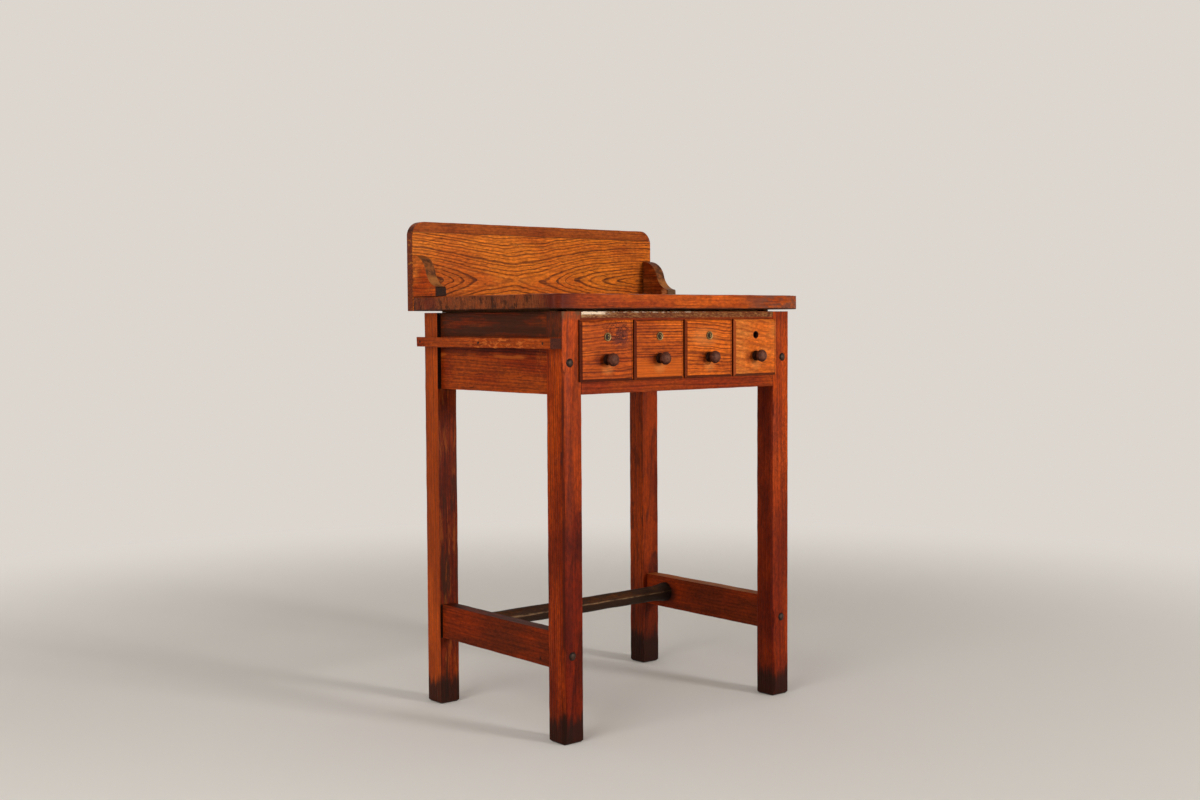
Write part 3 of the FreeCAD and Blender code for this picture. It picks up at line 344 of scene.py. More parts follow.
    def bump(self, depth):
        """Turn the height, which is the depth of the grain from 0 to 1, into a bump."""
        made = self.tree.nodes.new("ShaderNodeBump")
        made.invert = True
        made.inputs["Distance"].default_value = depth
        self.feed(made.inputs["Height"], self.height)
        self.tree.links.new(made.outputs[0], self.surface.inputs["Normal"])

    def roughen(self, mask, low, high):
        """Roughness from low, where the mask is 0, to high, where it is 1."""
        self.feed(self.surface.inputs["Roughness"], self.ramp(mask, 0.0, 1.0, low, high))

    def done(self):
        """The material, with the colour as it now is."""
        self.feed(self.surface.inputs["Base Color"], self.colour)
        return self.material


class Sawn:
    """How a board was sawn: where its grain runs and where the heart of the tree lies.

    Lie names the axes along the grain, across the board's face and into its depth. Ring is how
    thick a year's growth is. The heart is given across and in depth from the board's middle, and
    slope is how fast it moves along the grain. Wander is how far it strays across, and deep_wander
    in depth where that differs. Swell is a place along the grain where the heart lies deeper: its
    place, width and depth. Wave is how often the grain wanders in a metre, and late is where in a
    ring the dark wood sets in. Roundness is 2 for rings that are true circles, and less where the
    figure comes to sharper points. Seed sets its noise apart from that of the other boards.
    """

    def __init__(self, node, lie, ring=0.006, heart=(0.0, 0.09), slope=(0.0, 0.0), wander=0.004,
                 deep_wander=None, swell=None, wave=3, late=(0.25, 0.85), roundness=2.0, seed=0):
        low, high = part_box(node)
        self.middle = dict(zip("XYZ", (low + high) / 2))
        self.lie = lie
        self.ring = ring
        self.heart = heart
        self.slope = slope
        self.wander = (wander, wander if deep_wander is None else deep_wander)
        self.swell = swell
        self.wave = wave
        self.late = late
        self.roundness = roundness
        self.seed = seed

    def scale(self, along, across):
        """A scale for noise that is drawn out along the grain."""
        return tuple(along if axis == self.lie[0] else across for axis in "XYZ")

    def shift(self, count):
        """A shift for noise, so that no two boards and no two layers of one board look alike."""
        return (self.seed * 3.7 + count * 5.3, self.seed * 1.9 - count * 2.1, self.seed * 5.1 + count)


def growth_rings(finish, sawn):
    """The distance from the heart, counted in growth rings."""
    along, across, deep = (
        finish.calc("SUBTRACT", finish.at[axis], sawn.middle[axis]) for axis in sawn.lie)
    offsets = []
    for count, (value, heart, slope, wander) in enumerate(
            zip((across, deep), sawn.heart, sawn.slope, sawn.wander)):
        drift = finish.patches(sawn.scale(sawn.wave, 16), sawn.shift(count), roughness=0.5)
        wandering = finish.calc("MULTIPLY_ADD", drift, 2 * wander, -wander - heart)
        leaning = finish.calc("MULTIPLY_ADD", along, -slope, wandering)
        offsets.append(finish.calc("ADD", value, leaning))
    if sawn.swell:
        middle, width, depth = sawn.swell
        share_of_width = finish.calc("DIVIDE", finish.calc("SUBTRACT", along, middle), width)
        squared = finish.both(share_of_width, share_of_width)
        bell = finish.calc("EXPONENT", finish.calc("MULTIPLY", squared, -1))
        offsets[1] = finish.calc("MULTIPLY_ADD", bell, -depth, offsets[1])
    powers = (finish.calc("POWER", finish.calc("ABSOLUTE", offset), sawn.roundness)
              for offset in offsets)
    distance = finish.calc("POWER", finish.calc("ADD", *powers), 1 / sawn.roundness)
    count = finish.calc("DIVIDE", distance, sawn.ring)
    uneven = finish.series(count, 0.6)
    return finish.calc("MULTIPLY_ADD", uneven, 1.3, count)


def grain_lines(finish, sawn):
    """The dark grain late in each ring, broken into fine pores."""
    rings = growth_rings(finish, sawn)
    within = finish.calc("FRACT", rings)
    rising = finish.ramp(within, *sawn.late)
    falling = finish.ramp(within, 1.0, 0.93)
    strength = finish.ramp(finish.series(rings, 1.7), 0.3, 0.62, 0.5, 1.0)
    pores = finish.patches(sawn.scale(45, 900), sawn.shift(7), 1.0, 0.5)
    broken = finish.ramp(pores, 0.3, 0.6, 0.65, 1.0)
    return finish.both(rising, falling, strength, broken)


def oak(name, sawn, pale, deep, line, contrast=0.8, end=None, roughness=0.42):
    """Old varnished oak, ready for more stains.

    Pale and deep are the colours of the wood, and line that of its grain. End is the colour of the
    end grain, where it isn't a darker shade of the lines.
    """
    finish = Finish(name, roughness)
    blotch = finish.patches(sawn.scale(5, 14), sawn.shift(11), 3.0, 0.55)
    finish.colour = finish.mix(finish.ramp(blotch, 0.4, 0.62), pale, deep)
    lines = grain_lines(finish, sawn)
    finish.stain(finish.calc("MULTIPLY", lines, contrast), line)
    facing = finish.calc("ABSOLUTE", finish.facing[sawn.lie[0]])
    end_grain = finish.ramp(facing, 0.6, 0.9)
    finish.stain(end_grain, end if end else tuple(0.55 * value for value in line))
    pores = finish.cloud(finish.place, 2.0, 0.6, 420)
    open_pores = finish.ramp(pores, 0.52, 0.62, 0.25, 1.0)
    on_end = finish.both(end_grain, open_pores, finish.ramp(lines, 0.0, 0.6, 0.4, 1.0))
    finish.shade(on_end, 0.5, 0.42, 0.38)
    fibre = finish.patches(sawn.scale(9, 300), sawn.shift(13), 4.0, 0.7)
    mottle = finish.patches(sawn.scale(90, 190), sawn.shift(17), 4.0, 0.75)
    brightness = finish.both(
        finish.ramp(fibre, 0.3, 0.7, 0.7, 1.22), finish.ramp(mottle, 0.34, 0.66, 0.72, 1.24))
    grey = finish.join(brightness, brightness, brightness)
    finish.colour = finish.mix(1.0, finish.colour, grey, "MULTIPLY")
    finish.height = lines
    finish.bump(sizes().pore_bump)
    finish.roughen(blotch, roughness - 0.08, roughness + 0.12)
    return finish


def grime_near_floor(finish, top):
    """Dirt on the feet, drawn up the grain in streaks."""
    reach, soft = 0.09, 0.016
    streaks = finish.patches((110, 110, 12))
    level = finish.calc("MULTIPLY_ADD", streaks, -reach, finish.at["Z"])
    middle = top - reach / 2
    finish.stain(finish.ramp(level, middle + soft, middle - soft), woods().soot, 0.88)


def worn_and_highlit_metal(name, dark, bright, roughness, axis):
    """Tarnished metal that is brighter where it faces along an axis: wear on the lock brass, a painted
    highlight on the bolt heads.
    """
    finish = Finish(name, roughness, metallic=0.3, gloss=0.25)
    specks = finish.cloud(finish.place, 3.0, 0.6, 420)
    # Brighter where the surface faces along the axis: a painted highlight on the bolt heads, wear on the
    # brass.
    facing = finish.ramp(finish.calc("ABSOLUTE", finish.facing[axis]), 0.8, 0.97)
    worn = finish.both(facing, finish.ramp(specks, 0.3, 0.6, 0.35, 1.0))
    finish.colour = finish.mix(worn, dark, bright)
    finish.height = specks
    finish.bump(0.0001)
    return finish


# ---- meshes --------------------------------------------------------------------------------------

def solid_of(node):
    """A CAD node's solid as a closed bmesh, each flat face in one piece."""
    mesh = bmesh.new()
    mesh.from_mesh(frame["nodes"][node].data)
    bmesh.ops.remove_doubles(mesh, verts=mesh.verts, dist=MERGE_DISTANCE)
    bmesh.ops.dissolve_limit(
        mesh, angle_limit=FLAT, use_dissolve_boundaries=False, verts=mesh.verts, edges=mesh.edges)
    return mesh


def solids_in(mesh):
    """The vertices of each separate solid of a bmesh, in order."""
    seen = set()
    solids = []
    for first in mesh.verts:
        if first in seen:
            continue
        seen.add(first)
        solid, waiting = [], [first]
        while waiting:
            vertex = waiting.pop()
            solid.append(vertex)
            for edge in vertex.link_edges:
                other = edge.other_vert(vertex)
                if other not in seen:
                    seen.add(other)
                    waiting.append(other)
        solids.append(solid)
    return solids


def boxes_of(node):
    """The lowest and highest corners of each solid in a CAD node."""
    mesh = solid_of(node)
    boxes = []
    for solid in solids_in(mesh):
        places = [vertex.co for vertex in solid]
        boxes.append(tuple(Vector(limit(place[axis] for place in places) for axis in range(3))
                           for limit in (min, max)))
    mesh.free()
    return boxes


def soften(mesh, radius, shortest=0.006):
    """Round the square outer arrises that are longer than `shortest`."""
    arrises = [edge for edge in mesh.edges
               if edge.is_manifold and edge.is_convex
               and edge.calc_face_angle() > SQUARE and edge.calc_length() > shortest]
    bmesh.ops.bevel(
        mesh, geom=arrises, offset=radius, offset_type="OFFSET", segments=2, profile=0.5,
        affect="EDGES", clamp_overlap=True, material=-1)


def cut_across(mesh, axis, step):
    """Cut every face where planes across the axis pass, `step` apart."""
    places = [vertex.co.dot(AXES[axis]) for vertex in mesh.verts]
    low, high = min(places), max(places)
    for count in range(1, int((high - low) / step) + 1):
        bmesh.ops.bisect_plane(
            mesh, geom=[*mesh.verts, *mesh.edges, *mesh.faces], dist=CUT_DISTANCE,
            plane_co=AXES[axis] * (low + count * step), plane_no=AXES[axis])


def wear(mesh, depth, patch, seed=0.0):
    """Sink the vertices on arrises along their normals, more in some patches than in others."""
    mesh.normal_update()
    on_arris = [vertex for vertex in mesh.verts
                if any(edge.is_manifold and edge.calc_face_angle() > 20 * FLAT
                       for edge in vertex.link_edges)]
    for vertex in on_arris:
        patchy = 0.5 + noise.noise(vertex.co / patch + Vector((seed, 2 * seed, 0)))
        vertex.co -= vertex.normal * depth * min(max(patchy, 0.0), 1.0)


def added(mesh, name):
    """A smooth object of the bmesh, in the scene."""
    data = bpy.data.meshes.new(name)
    mesh.to_mesh(data)
    mesh.free()
    data.shade_smooth()
    piece = bpy.data.objects.new(name, data)
    bpy.context.scene.collection.objects.link(piece)
    return piece


def finished(mesh, name, crisp=CRISP):
    """An object of the bmesh that is sharp where its faces meet at more than the angle."""
    piece = added(mesh, name)
    piece.data.set_sharp_from_angle(angle=crisp)
    shading = piece.modifiers.new("flat_faces", "WEIGHTED_NORMAL")
    shading.keep_sharp = True
    return piece


def dress(piece, node, finish):
    """The piece stands for the CAD node, moves with its body and has its finish."""
    piece.data.materials.clear()
    piece.data.materials.append(finish.done())
    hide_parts(node)
    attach(piece, BODY_OF[node])
    return piece


def paint(node, finish):
    """Give a CAD node, which stays as it is, its finish."""
    slots = frame["nodes"][node].data.materials
    slots.clear()
    slots.append(finish.done())


def worn_board(node, axis, finish, depth=None, seed=0.0):
    """A CAD board with rounded, unevenly worn arrises."""
    mesh = solid_of(node)
    soften(mesh, sizes().arris)
    cut_across(mesh, axis, sizes().wear_step)
    wear(mesh, sizes().wear if depth is None else depth, sizes().wear_patch, seed)
    return dress(finished(mesh, node + "_worn"), node, finish)


def turned(outline, origin, direction, steps):
    """A closed turned solid.

    The outline is a list of (distance along the axis, radius); the axis starts at the origin.
    """
    mesh = bmesh.new()
    axis = direction.normalized()
    side = axis.orthogonal().normalized()
    points = [mesh.verts.new(origin + axis * along + side * radius) for along, radius in outline]
    edges = [mesh.edges.new(pair) for pair in zip(points, points[1:])]
    bmesh.ops.spin(
        mesh, geom=[*points, *edges], cent=origin, axis=axis, angle=math.tau, steps=steps,
        use_merge=True)
    bmesh.ops.remove_doubles(mesh, verts=mesh.verts, dist=MERGE_DISTANCE)
    bmesh.ops.recalc_face_normals(mesh, faces=mesh.faces)
    return mesh


def arc(start, end, bulge, steps):
    """Points on a shallow arc from start to just before end.

    It is a parabola that bulges by `bulge` to the left of its chord.
    """
    start, end = Vector(start), Vector(end)
    chord = end - start
    left = Vector((-chord.y, chord.x)).normalized()
    points = []
    for count in range(steps):
        part = count / steps
        points.append(tuple(start + chord * part + left * (4 * bulge * part * (1 - part))))
    return points


def on_front(node, drawer):
    """Where the axis of a drawer's knob or lock meets the face of the drawer's front."""
    low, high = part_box(node)
    front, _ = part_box("drawer_%d_front" % drawer)
    return Vector(((low.x + high.x) / 2, front.y, (low.z + high.z) / 2))


# ---- operators -----------------------------------------------------------------------------------

class BenchOperator:
    """What the bench's operators share; a piece that can't be made raises its own error."""
    bl_options = {"REGISTER", "UNDO"}


class BENCH_OT_top(BenchOperator, bpy.types.Operator):
    """Make the worn top"""
    bl_idname = "bench.top"
    bl_label = "Top"

    def execute(self, context):
        wood = woods()
        sawn = Sawn("top_board", "XYZ", ring=0.006, heart=(0.6, -0.2), wander=0.003, seed=1)
        finish = oak("top_oak", sawn, wood.top, wood.top_deep, wood.top_line, 0.4, end=wood.top_end)
        low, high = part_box("top_board")
        self.add_surface_wear(finish)
        self.add_end_dirt(finish, low, high)
        patches = finish.patches((30, 30, 90), (6, 0, 0))
        front = finish.faces("Y", -1)
        scraped = finish.near((high.x - 0.07, low.y, (low.z + high.z) / 2), 0.14, (1, 1, 1.5))
        scraped = finish.both(front, scraped, finish.ramp(patches, 0.34, 0.54))
        finish.stain(scraped, srgb(104, 60, 44), 0.9)
        lines = finish.patches((14, 14, 700), (1, 2, 3), 3.0, 0.7)
        finish.shade(finish.both(front, finish.ramp(lines, 0.5, 0.68)), 0.62, 0.5, 0.45)
        ragged = finish.calc("MULTIPLY_ADD", patches, -0.006, finish.at["Z"])
        finish.stain(finish.ramp(ragged, low.z + 0.0012, low.z - 0.0012), wood.grime, 0.9)

        mesh = solid_of("top_board")
        soften(mesh, sizes().arris)
        cut_across(mesh, "X", sizes().wear_step)
        cut_across(mesh, "Y", sizes().wear_step)
        wear(mesh, sizes().top_wear, sizes().wear_patch, 3.0)
        dress(finished(mesh, "top_board_worn"), "top_board", finish)
        return {"FINISHED"}

    def add_surface_wear(self, finish):
        """Stains and pale cuts on the upper surface."""
        up = finish.faces("Z", 1)
        stains = finish.patches((9, 9, 9), (4, 1, 0), 4.0, 0.65)
        finish.stain(finish.both(up, finish.ramp(stains, 0.55, 0.7)), woods().grime, 0.55)
        cuts = finish.patches((420, 14, 20), (0, 3, 0), 2.0, 0.5)
        finish.stain(finish.both(up, finish.ramp(cuts, 0.68, 0.74)), woods().top_end, 0.5)

    def add_end_dirt(self, finish, low, high):
        """Saw marks and brown patches on the left end, and a reddish corner at the front."""
        left = finish.faces("X", -1, 0.7)
        saw_marks = finish.patches((10, 380, 26), (0, 2, 0))
        finish.shade(finish.both(left, finish.ramp(saw_marks, 0.45, 0.62)), 0.55, 0.5, 0.5)
        bands = finish.patches((4, 34, 9), (2, 0, 0), 4.0, 0.7)
        blots = finish.patches((20, 52, 34), (2, 6, 1), 4.0, 0.7)
        towards_front = finish.ramp(finish.at["Y"], 0.06, -0.06, 0.25, 0.7)
        finish.stain(finish.both(left, towards_front, finish.ramp(bands, 0.42, 0.6, 0.45, 1.0)),
                     srgb(78, 38, 20))
        towards_back = finish.ramp(finish.at["Y"], 0.13, 0.18)
        finish.stain(finish.both(left, towards_back, finish.ramp(bands, 0.4, 0.55)), srgb(96, 34, 18), 0.8)
        finish.stain(finish.both(left, finish.ramp(blots, 0.52, 0.58)), srgb(40, 18, 8), 0.7)
        finish.stain(finish.both(left, finish.ramp(blots, 0.44, 0.38)), srgb(134, 58, 24), 0.65)
        corner = finish.near((low.x, low.y, high.z), 0.075, (1, 1, 0.1))
        finish.stain(finish.both(corner, finish.ramp(bands, 0.2, 0.6, 0.55, 0.95)), srgb(84, 26, 12))


class BENCH_OT_backboard(BenchOperator, bpy.types.Operator):
    """Make the backboard and the strip along its top"""
    bl_idname = "bench.backboard"
    bl_label = "Backboard"

    def execute(self, context):
        wood = woods()
        low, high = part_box("backboard")
        face_to_middle = (high.y - low.y) / 2
        sawn = Sawn("backboard", "XZY", ring=0.0062, heart=(-0.016, 0.004 - face_to_middle),
                    slope=(0.012, 0.0), wander=0.0042, deep_wander=0.0055,
                    swell=(-0.08, 0.24, 0.055), wave=13, late=(0.5, 0.75), roundness=1.5, seed=2)
        board = oak("backboard_oak", sawn, wood.board, wood.board_deep, wood.board_line, 1.0,
                    end=srgb(116, 50, 22))
        below_strip = board.ramp(board.at["Z"], high.z - 0.0022, high.z - 0.0008)
        board.stain(below_strip, wood.grime, 0.45)
        flecks = board.patches((35, 90, 260), (8, 0, 1))
        board.stain(board.ramp(flecks, 0.64, 0.7), wood.board_line, 0.8)
        # Painted glints: golden highlights painted into the backboard's colour.
        glints = board.patches((30, 60, 200), (2, 5, 1))
        board.stain(board.ramp(glints, 0.55, 0.72), srgb(222, 138, 52), 0.35)
        board.shade(board.ramp(board.at["X"], 0.17, 0.31), 0.82, 0.74, 0.74)
        self.add_bracket_shadow_and_dirt(board)
        worn_board("backboard", "X", board, seed=1.0)
        sawn = Sawn("backboard_top_strip", "XZY", ring=0.003, heart=(0.3, 0.1), wander=0.002, seed=3)
        strip = oak("top_strip_oak", sawn, wood.strip, wood.strip_deep, wood.strip_line, 0.6)
        worn_board("backboard_top_strip", "X", strip, seed=2.0)
        return {"FINISHED"}

    def add_bracket_shadow_and_dirt(self, board):
        """Painted shadow and dirt on the front, in the corner beside the right bracket, and dirt along both
        joints.
        """
        low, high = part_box("bracket_right")
        front = board.faces("Y", -1)
        corner = board.both(
            front, board.ramp(board.at["X"], low.x - 0.03, low.x - 0.004),
            board.ramp(board.at["X"], low.x + 0.002, low.x),
            board.ramp(board.at["Z"], high.z + 0.004, high.z - 0.03))
        # Painted shadow of the right bracket, mixed with dirt, in the corner to its left.
        patches = board.patches((70, 20, 70), (3, 3, 3))
        board.stain(board.both(corner, board.ramp(patches, 0.25, 0.6, 0.5, 1.0)), srgb(84, 40, 14), 0.6)
        _, left_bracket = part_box("bracket_left")
        for inner_face in (left_bracket.x, low.x):
            line = board.both(
                front, board.band(board.at["X"], inner_face - 0.0008, inner_face + 0.0008, 0.0005),
                board.ramp(board.at["Z"], high.z + 0.001, high.z - 0.001))
            board.stain(line, woods().soot, 0.85)


class BENCH_OT_brackets(BenchOperator, bpy.types.Operator):
    """Make the two ogee brackets"""
    bl_idname = "bench.brackets"
    bl_label = "Brackets"

    def execute(self, context):
        wood = woods()
        for count, end in enumerate(("left", "right")):
            node = "bracket_" + end
            low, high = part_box(node)
            sawn = Sawn(node, "YZX", ring=0.007, heart=(0.15, 0.06), wander=0.006, wave=9, seed=4 + count)
            finish = oak(node + "_oak", sawn, wood.bracket, wood.leg, wood.leg_line, 0.55,
                         end=wood.bracket)
            across = finish.calc("ABSOLUTE", finish.facing["X"])
            patches = finish.patches((60, 60, 60), (0, count, 0), 3.0, 0.65)
            if end == "right":
                finish.shade(finish.faces("X", -1), 0.34, 0.26, 0.3)
                rubbed = finish.near((low.x, low.y + 0.012, low.z + 0.012), 0.022, (1, 1, 1.3))
                finish.stain(finish.both(rubbed, finish.ramp(patches, 0.4, 0.6)), srgb(206, 132, 80), 0.8)
            curve = finish.ramp(across, 0.7, 0.4)
            finish.stain(curve, wood.bracket_edge, 0.8)
            finish.stain(finish.both(curve, finish.ramp(patches, 0.42, 0.56)), wood.grime, 0.7)
            finish.seam("Y", high.y - 0.0004)
            finish.seam("Z", low.z + 0.0004)
            lower = finish.band(finish.at["Z"], low.z + 0.022, low.z + 0.044, 0.006)
            finish.stain(finish.both(curve, lower, finish.ramp(patches, 0.3, 0.5)), srgb(172, 106, 50), 0.7)
            toe = finish.ramp(finish.at["Y"], low.y + 0.006, low.y + 0.003)
            finish.stain(toe, srgb(26, 11, 5) if end == "left" else srgb(96, 68, 44), 0.92)
            finish.stain(finish.ramp(patches, 0.58, 0.7), wood.grime, 0.5)
            mesh = solid_of(node)
            soften(mesh, sizes().arris, 0.0005)
            wear(mesh, sizes().wear, sizes().wear_patch, count)
            dress(finished(mesh, node + "_worn"), node, finish)
        return {"FINISHED"}


class BENCH_OT_legs(BenchOperator, bpy.types.Operator):
    """Make the four legs"""
    bl_idname = "bench.legs"
    bl_label = "Legs"

    def execute(self, context):
        wood = woods()
        legs = {
            "leg_front_left": ((0.02, 0.09), self.finish_front_left),
            "leg_front_right": ((-0.12, 0.16), self.finish_front_right),
            "leg_rear_left": ((0.14, -0.12), self.finish_rear_left),
            "leg_rear_right": ((0.01, 0.07), self.finish_rear_right)}
        for count, (node, (heart, add_shades)) in enumerate(legs.items()):
            sawn = Sawn(node, "ZXY", ring=0.006, heart=heart, slope=(0.012, 0.02), wander=0.005, wave=4,
                        late=(0.35, 0.9), seed=6 + count)
            contrast = 0.35 if node == "leg_front_right" else 0.7
            finish = oak(node + "_oak", sawn, wood.leg, wood.leg_deep, wood.leg_line, contrast)
            add_shades(finish)
            if "front" in node:
                self.add_bolt_marks(finish, node)
            grime_near_floor(finish, 0.075 if node == "leg_rear_right" else 0.055)
            worn_board(node, "Z", finish, seed=float(count))
        return {"FINISHED"}

    def add_bolt_marks(self, finish, node):
        """A dark ring round the head of each frame bolt in the leg."""
        low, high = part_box(node)
        for bolt_low, bolt_high in boxes_of("frame_bolts"):
            middle = (bolt_low + bolt_high) / 2
            if not low.x < middle.x < high.x:
                continue
            head_radius = (bolt_high.x - bolt_low.x) / 2
            across = finish.from_axis(middle)
            mark = finish.ramp(across, head_radius + 0.0018, head_radius + 0.0006)
            finish.stain(finish.both(mark, finish.faces("Y", -1)), woods().soot, 0.85)

    def finish_front_left(self, finish):
        """Bright at the top and darker red lower down as painted shade, streaks on the left and dirt on the
        chamfer.
        """
        streaks = finish.patches((60, 60, 5), (0, 3, 0), 4.0, 0.65)
        finish.shade(finish.both(finish.faces("X", -1), finish.ramp(streaks, 0.4, 0.62)), 0.75, 0.65, 0.6)
        # Painted shade: the front and left faces darken towards the foot, as if lit from above.
        lower = finish.ramp(finish.at["Z"], 0.78, 0.3)
        finish.shade(finish.both(finish.faces("Y", -1), lower), 0.34, 0.19, 0.1)
        finish.shade(finish.both(finish.faces("X", -1), lower), 0.72, 0.62, 0.6)
        chamfer = finish.both(finish.faces("X", -1, 0.5), finish.faces("Y", -1, 0.5))
        finish.stain(finish.both(chamfer, finish.ramp(streaks, 0.36, 0.5, 0.45, 1.0)), srgb(58, 18, 8), 0.85)
        self.add_handled_grime_and_shade(finish)

    def finish_front_right(self, finish):
        """Dark on the left face and the chamfer, and darker red towards the foot, which is painted shade."""
        finish.shade(finish.faces("X", -1, 0.55), 0.46, 0.34, 0.3)
        # Painted shade: the front face darkens towards the foot.
        lower = finish.ramp(finish.at["Z"], 0.75, 0.3)
        finish.shade(finish.both(finish.faces("Y", -1), lower), 0.7, 0.58, 0.5)

    def finish_rear_left(self, finish):
        """Painted light on the left face, painted shade and dark brown streaks on the front face, and black
        dirt with painted shade where the side boards meet it.
        """
        streaks = finish.patches((60, 60, 5), (2, 3, 0), 4.0, 0.65)
        # Painted light: the left face is brightened towards the fronts' colour.
        finish.stain(finish.faces("X", -1), woods().front, 0.2)
        front = finish.faces("Y", -1)
        # Painted shade over the whole front face.
        finish.shade(front, 0.44, 0.38, 0.24)
        finish.stain(finish.both(front, finish.ramp(streaks, 0.5, 0.62)), srgb(46, 22, 8), 0.8)
        figure = finish.patches((110, 110, 17), (2, 7, 0), 4.0, 0.65)
        finish.stain(finish.both(front, finish.ramp(figure, 0.53, 0.64)), srgb(142, 66, 16), 0.5)
        # Black in the recess beside the inset side boards: dirt and painted shade.
        for board in ("apron_left", "stretcher_left"):
            low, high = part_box(board)
            seam = finish.both(
                finish.faces("Y", -1, 0.5), finish.ramp(finish.at["X"], low.x + 0.001, low.x),
                finish.band(finish.at["Z"], low.z, high.z, 0.001))
            finish.stain(seam, woods().soot)

    def finish_rear_right(self, finish):
        """Strong figure on the left face, darker left and front faces, and painted shade low down."""
        finish.shade(finish.faces("X", -1), 0.8, 0.75, 0.6)
        figure = finish.patches((80, 80, 13), (1, 8, 0), 4.0, 0.65)
        swirls = finish.both(finish.faces("X", -1), finish.ramp(figure, 0.52, 0.62))
        finish.stain(swirls, woods().leg_line, 0.65)
        finish.shade(finish.faces("Y", -1), 0.62, 0.55, 0.5)
        # Painted shade: darker towards the foot.
        finish.shade(finish.ramp(finish.at["Z"], 0.3, 0.12), 0.5, 0.45, 0.45)

    def add_handled_grime_and_shade(self, finish):
        """Dirt where hands and sleeves rub, with painted shade under the top's overhang above the ledge, and
        dirt at the very top of the front face.
        """
        _, ledge_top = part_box("side_ledge")
        _, leg_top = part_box("leg_front_left")
        patches = finish.cloud(finish.place, 3.0, 0.6, 60)
        # Above the ledge the outer face takes dirt and painted shade under the top's overhang.
        outer = finish.ramp(finish.facing["X"], -0.5, -0.85)
        above = finish.ramp(finish.at["Z"], ledge_top.z - 0.003, ledge_top.z + 0.004)
        finish.stain(finish.both(outer, above, finish.ramp(patches, 0.3, 0.7, 0.95, 0.6)), woods().grime)
        top = finish.ramp(finish.at["Z"], leg_top.z - 0.019, leg_top.z - 0.011)
        finish.stain(finish.both(finish.faces("Y", -1), top, finish.ramp(patches, 0.4, 0.6, 0.3, 1.0)),
                     srgb(96, 66, 40), 0.85)


class BENCH_OT_side_boards(BenchOperator, bpy.types.Operator):
    """Make the aprons and the side stretchers"""
    bl_idname = "bench.side_boards"
    bl_label = "Aprons and stretchers"

    def execute(self, context):
        wood = woods()
        for count, end in enumerate(("left", "right")):
            node = "apron_" + end
            sawn = Sawn(node, "YZX", ring=0.0065, heart=(0.3, 0.1), slope=(0.02, 0.02), wave=5,
                        seed=12 + count)
            finish = oak(node + "_oak", sawn, wood.apron, wood.leg_deep, wood.apron_line, 0.6)
            self.add_seams(finish, end)
            if end == "left":
                self.add_ledge_shade(finish)
            worn_board(node, "Y", finish, seed=5.0 + count)

            node = "stretcher_" + end
            sawn = Sawn(node, "YZX", ring=0.006, heart=(0.12, 0.08), seed=15 + count)
            finish = oak(node + "_oak", sawn, wood.stretcher, wood.leg_deep, wood.stretcher_line, 0.45,
                         roughness=0.6)
            # The left stretcher's top is darker, the right one's paler, in scuffed patches.
            top_tone = srgb(56, 17, 3) if end == "left" else srgb(158, 90, 38)
            scuffs = finish.patches((110, 12, 110), (count, 6, 2), 4.0, 0.7)
            rubbed = finish.ramp(scuffs, 0.36, 0.62, 1.0, 0.45)
            finish.stain(finish.both(finish.faces("Z", 1), rubbed), top_tone, 0.95)
            self.add_seams(finish, end)
            low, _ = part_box(node)
            if end == "left":
                hole_y, hole_z = -0.155, 0.162
                finish.stain(finish.near((low.x, hole_y, hole_z), 0.0045), wood.soot)
            else:
                # Painted shadow of the foot rail's end on the right stretcher, with dirt.
                rail_low, rail_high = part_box("foot_rail")
                dirt = (rail_low + rail_high) / 2 + Vector((0, -0.014, -0.004))
                dirt.x = low.x
                finish.stain(finish.near(dirt, 0.036), wood.soot, 0.85)
            worn_board(node, "Y", finish, seed=7.0 + count)

        sawn = Sawn("apron_rear", "XZY", ring=0.008, heart=(0.05, 0.12), slope=(0.0, 0.1), seed=18)
        finish = oak("apron_rear_oak", sawn, wood.apron, wood.leg_deep, wood.apron_line, 0.7)
        worn_board("apron_rear", "X", finish, seed=9.0)
        return {"FINISHED"}

    def add_seams(self, finish, end):
        """The dark joints at the legs' shoulders."""
        _, front_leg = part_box("leg_front_" + end)
        rear_leg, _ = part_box("leg_rear_" + end)
        finish.seam("Y", front_leg.y)
        finish.seam("Y", rear_leg.y)

    def add_ledge_shade(self, finish):
        """Old dirt and painted shade above the ledge; under it a painted shadow, a red streak, pores and
        scratches.
        """
        ledge_low, ledge_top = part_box("side_ledge")
        above = finish.ramp(finish.at["Z"], ledge_top.z - 0.002, ledge_top.z + 0.003)
        streaks = finish.patches((40, 9, 60), (3, 1, 0))
        # Above the ledge: old dirt and painted shade under the top.
        finish.stain(finish.both(above, finish.ramp(streaks, 0.66, 0.46, 0.35, 0.88)), woods().grime)
        under = finish.band(finish.at["Z"], ledge_low.z - 0.011, ledge_low.z + 0.002, 0.004)
        # Painted shadow of the ledge on the apron below it.
        finish.shade(under, 0.5, 0.4, 0.4)
        dashes = finish.patches((30, 30, 420), (1, 0, 2))
        finish.stain(finish.ramp(dashes, 0.6, 0.67), woods().apron_line, 0.75)
        rubbed_y, rubbed_z = -0.155, 0.77
        rubbed = finish.near((ledge_low.x, rubbed_y, rubbed_z), 0.06, (0.3, 3.4, 0.8))
        scratches = finish.patches((60, 300, 190), (5, 5, 5), 4.0, 0.7)
        finish.stain(finish.both(rubbed, finish.ramp(scratches, 0.52, 0.66)), srgb(196, 96, 40), 0.6)
        streak = finish.band(finish.at["Z"], ledge_low.z - 0.022, ledge_low.z - 0.014, 0.003)
        finish.stain(finish.both(streak, finish.ramp(streaks, 0.45, 0.6)), srgb(196, 96, 30), 0.6)


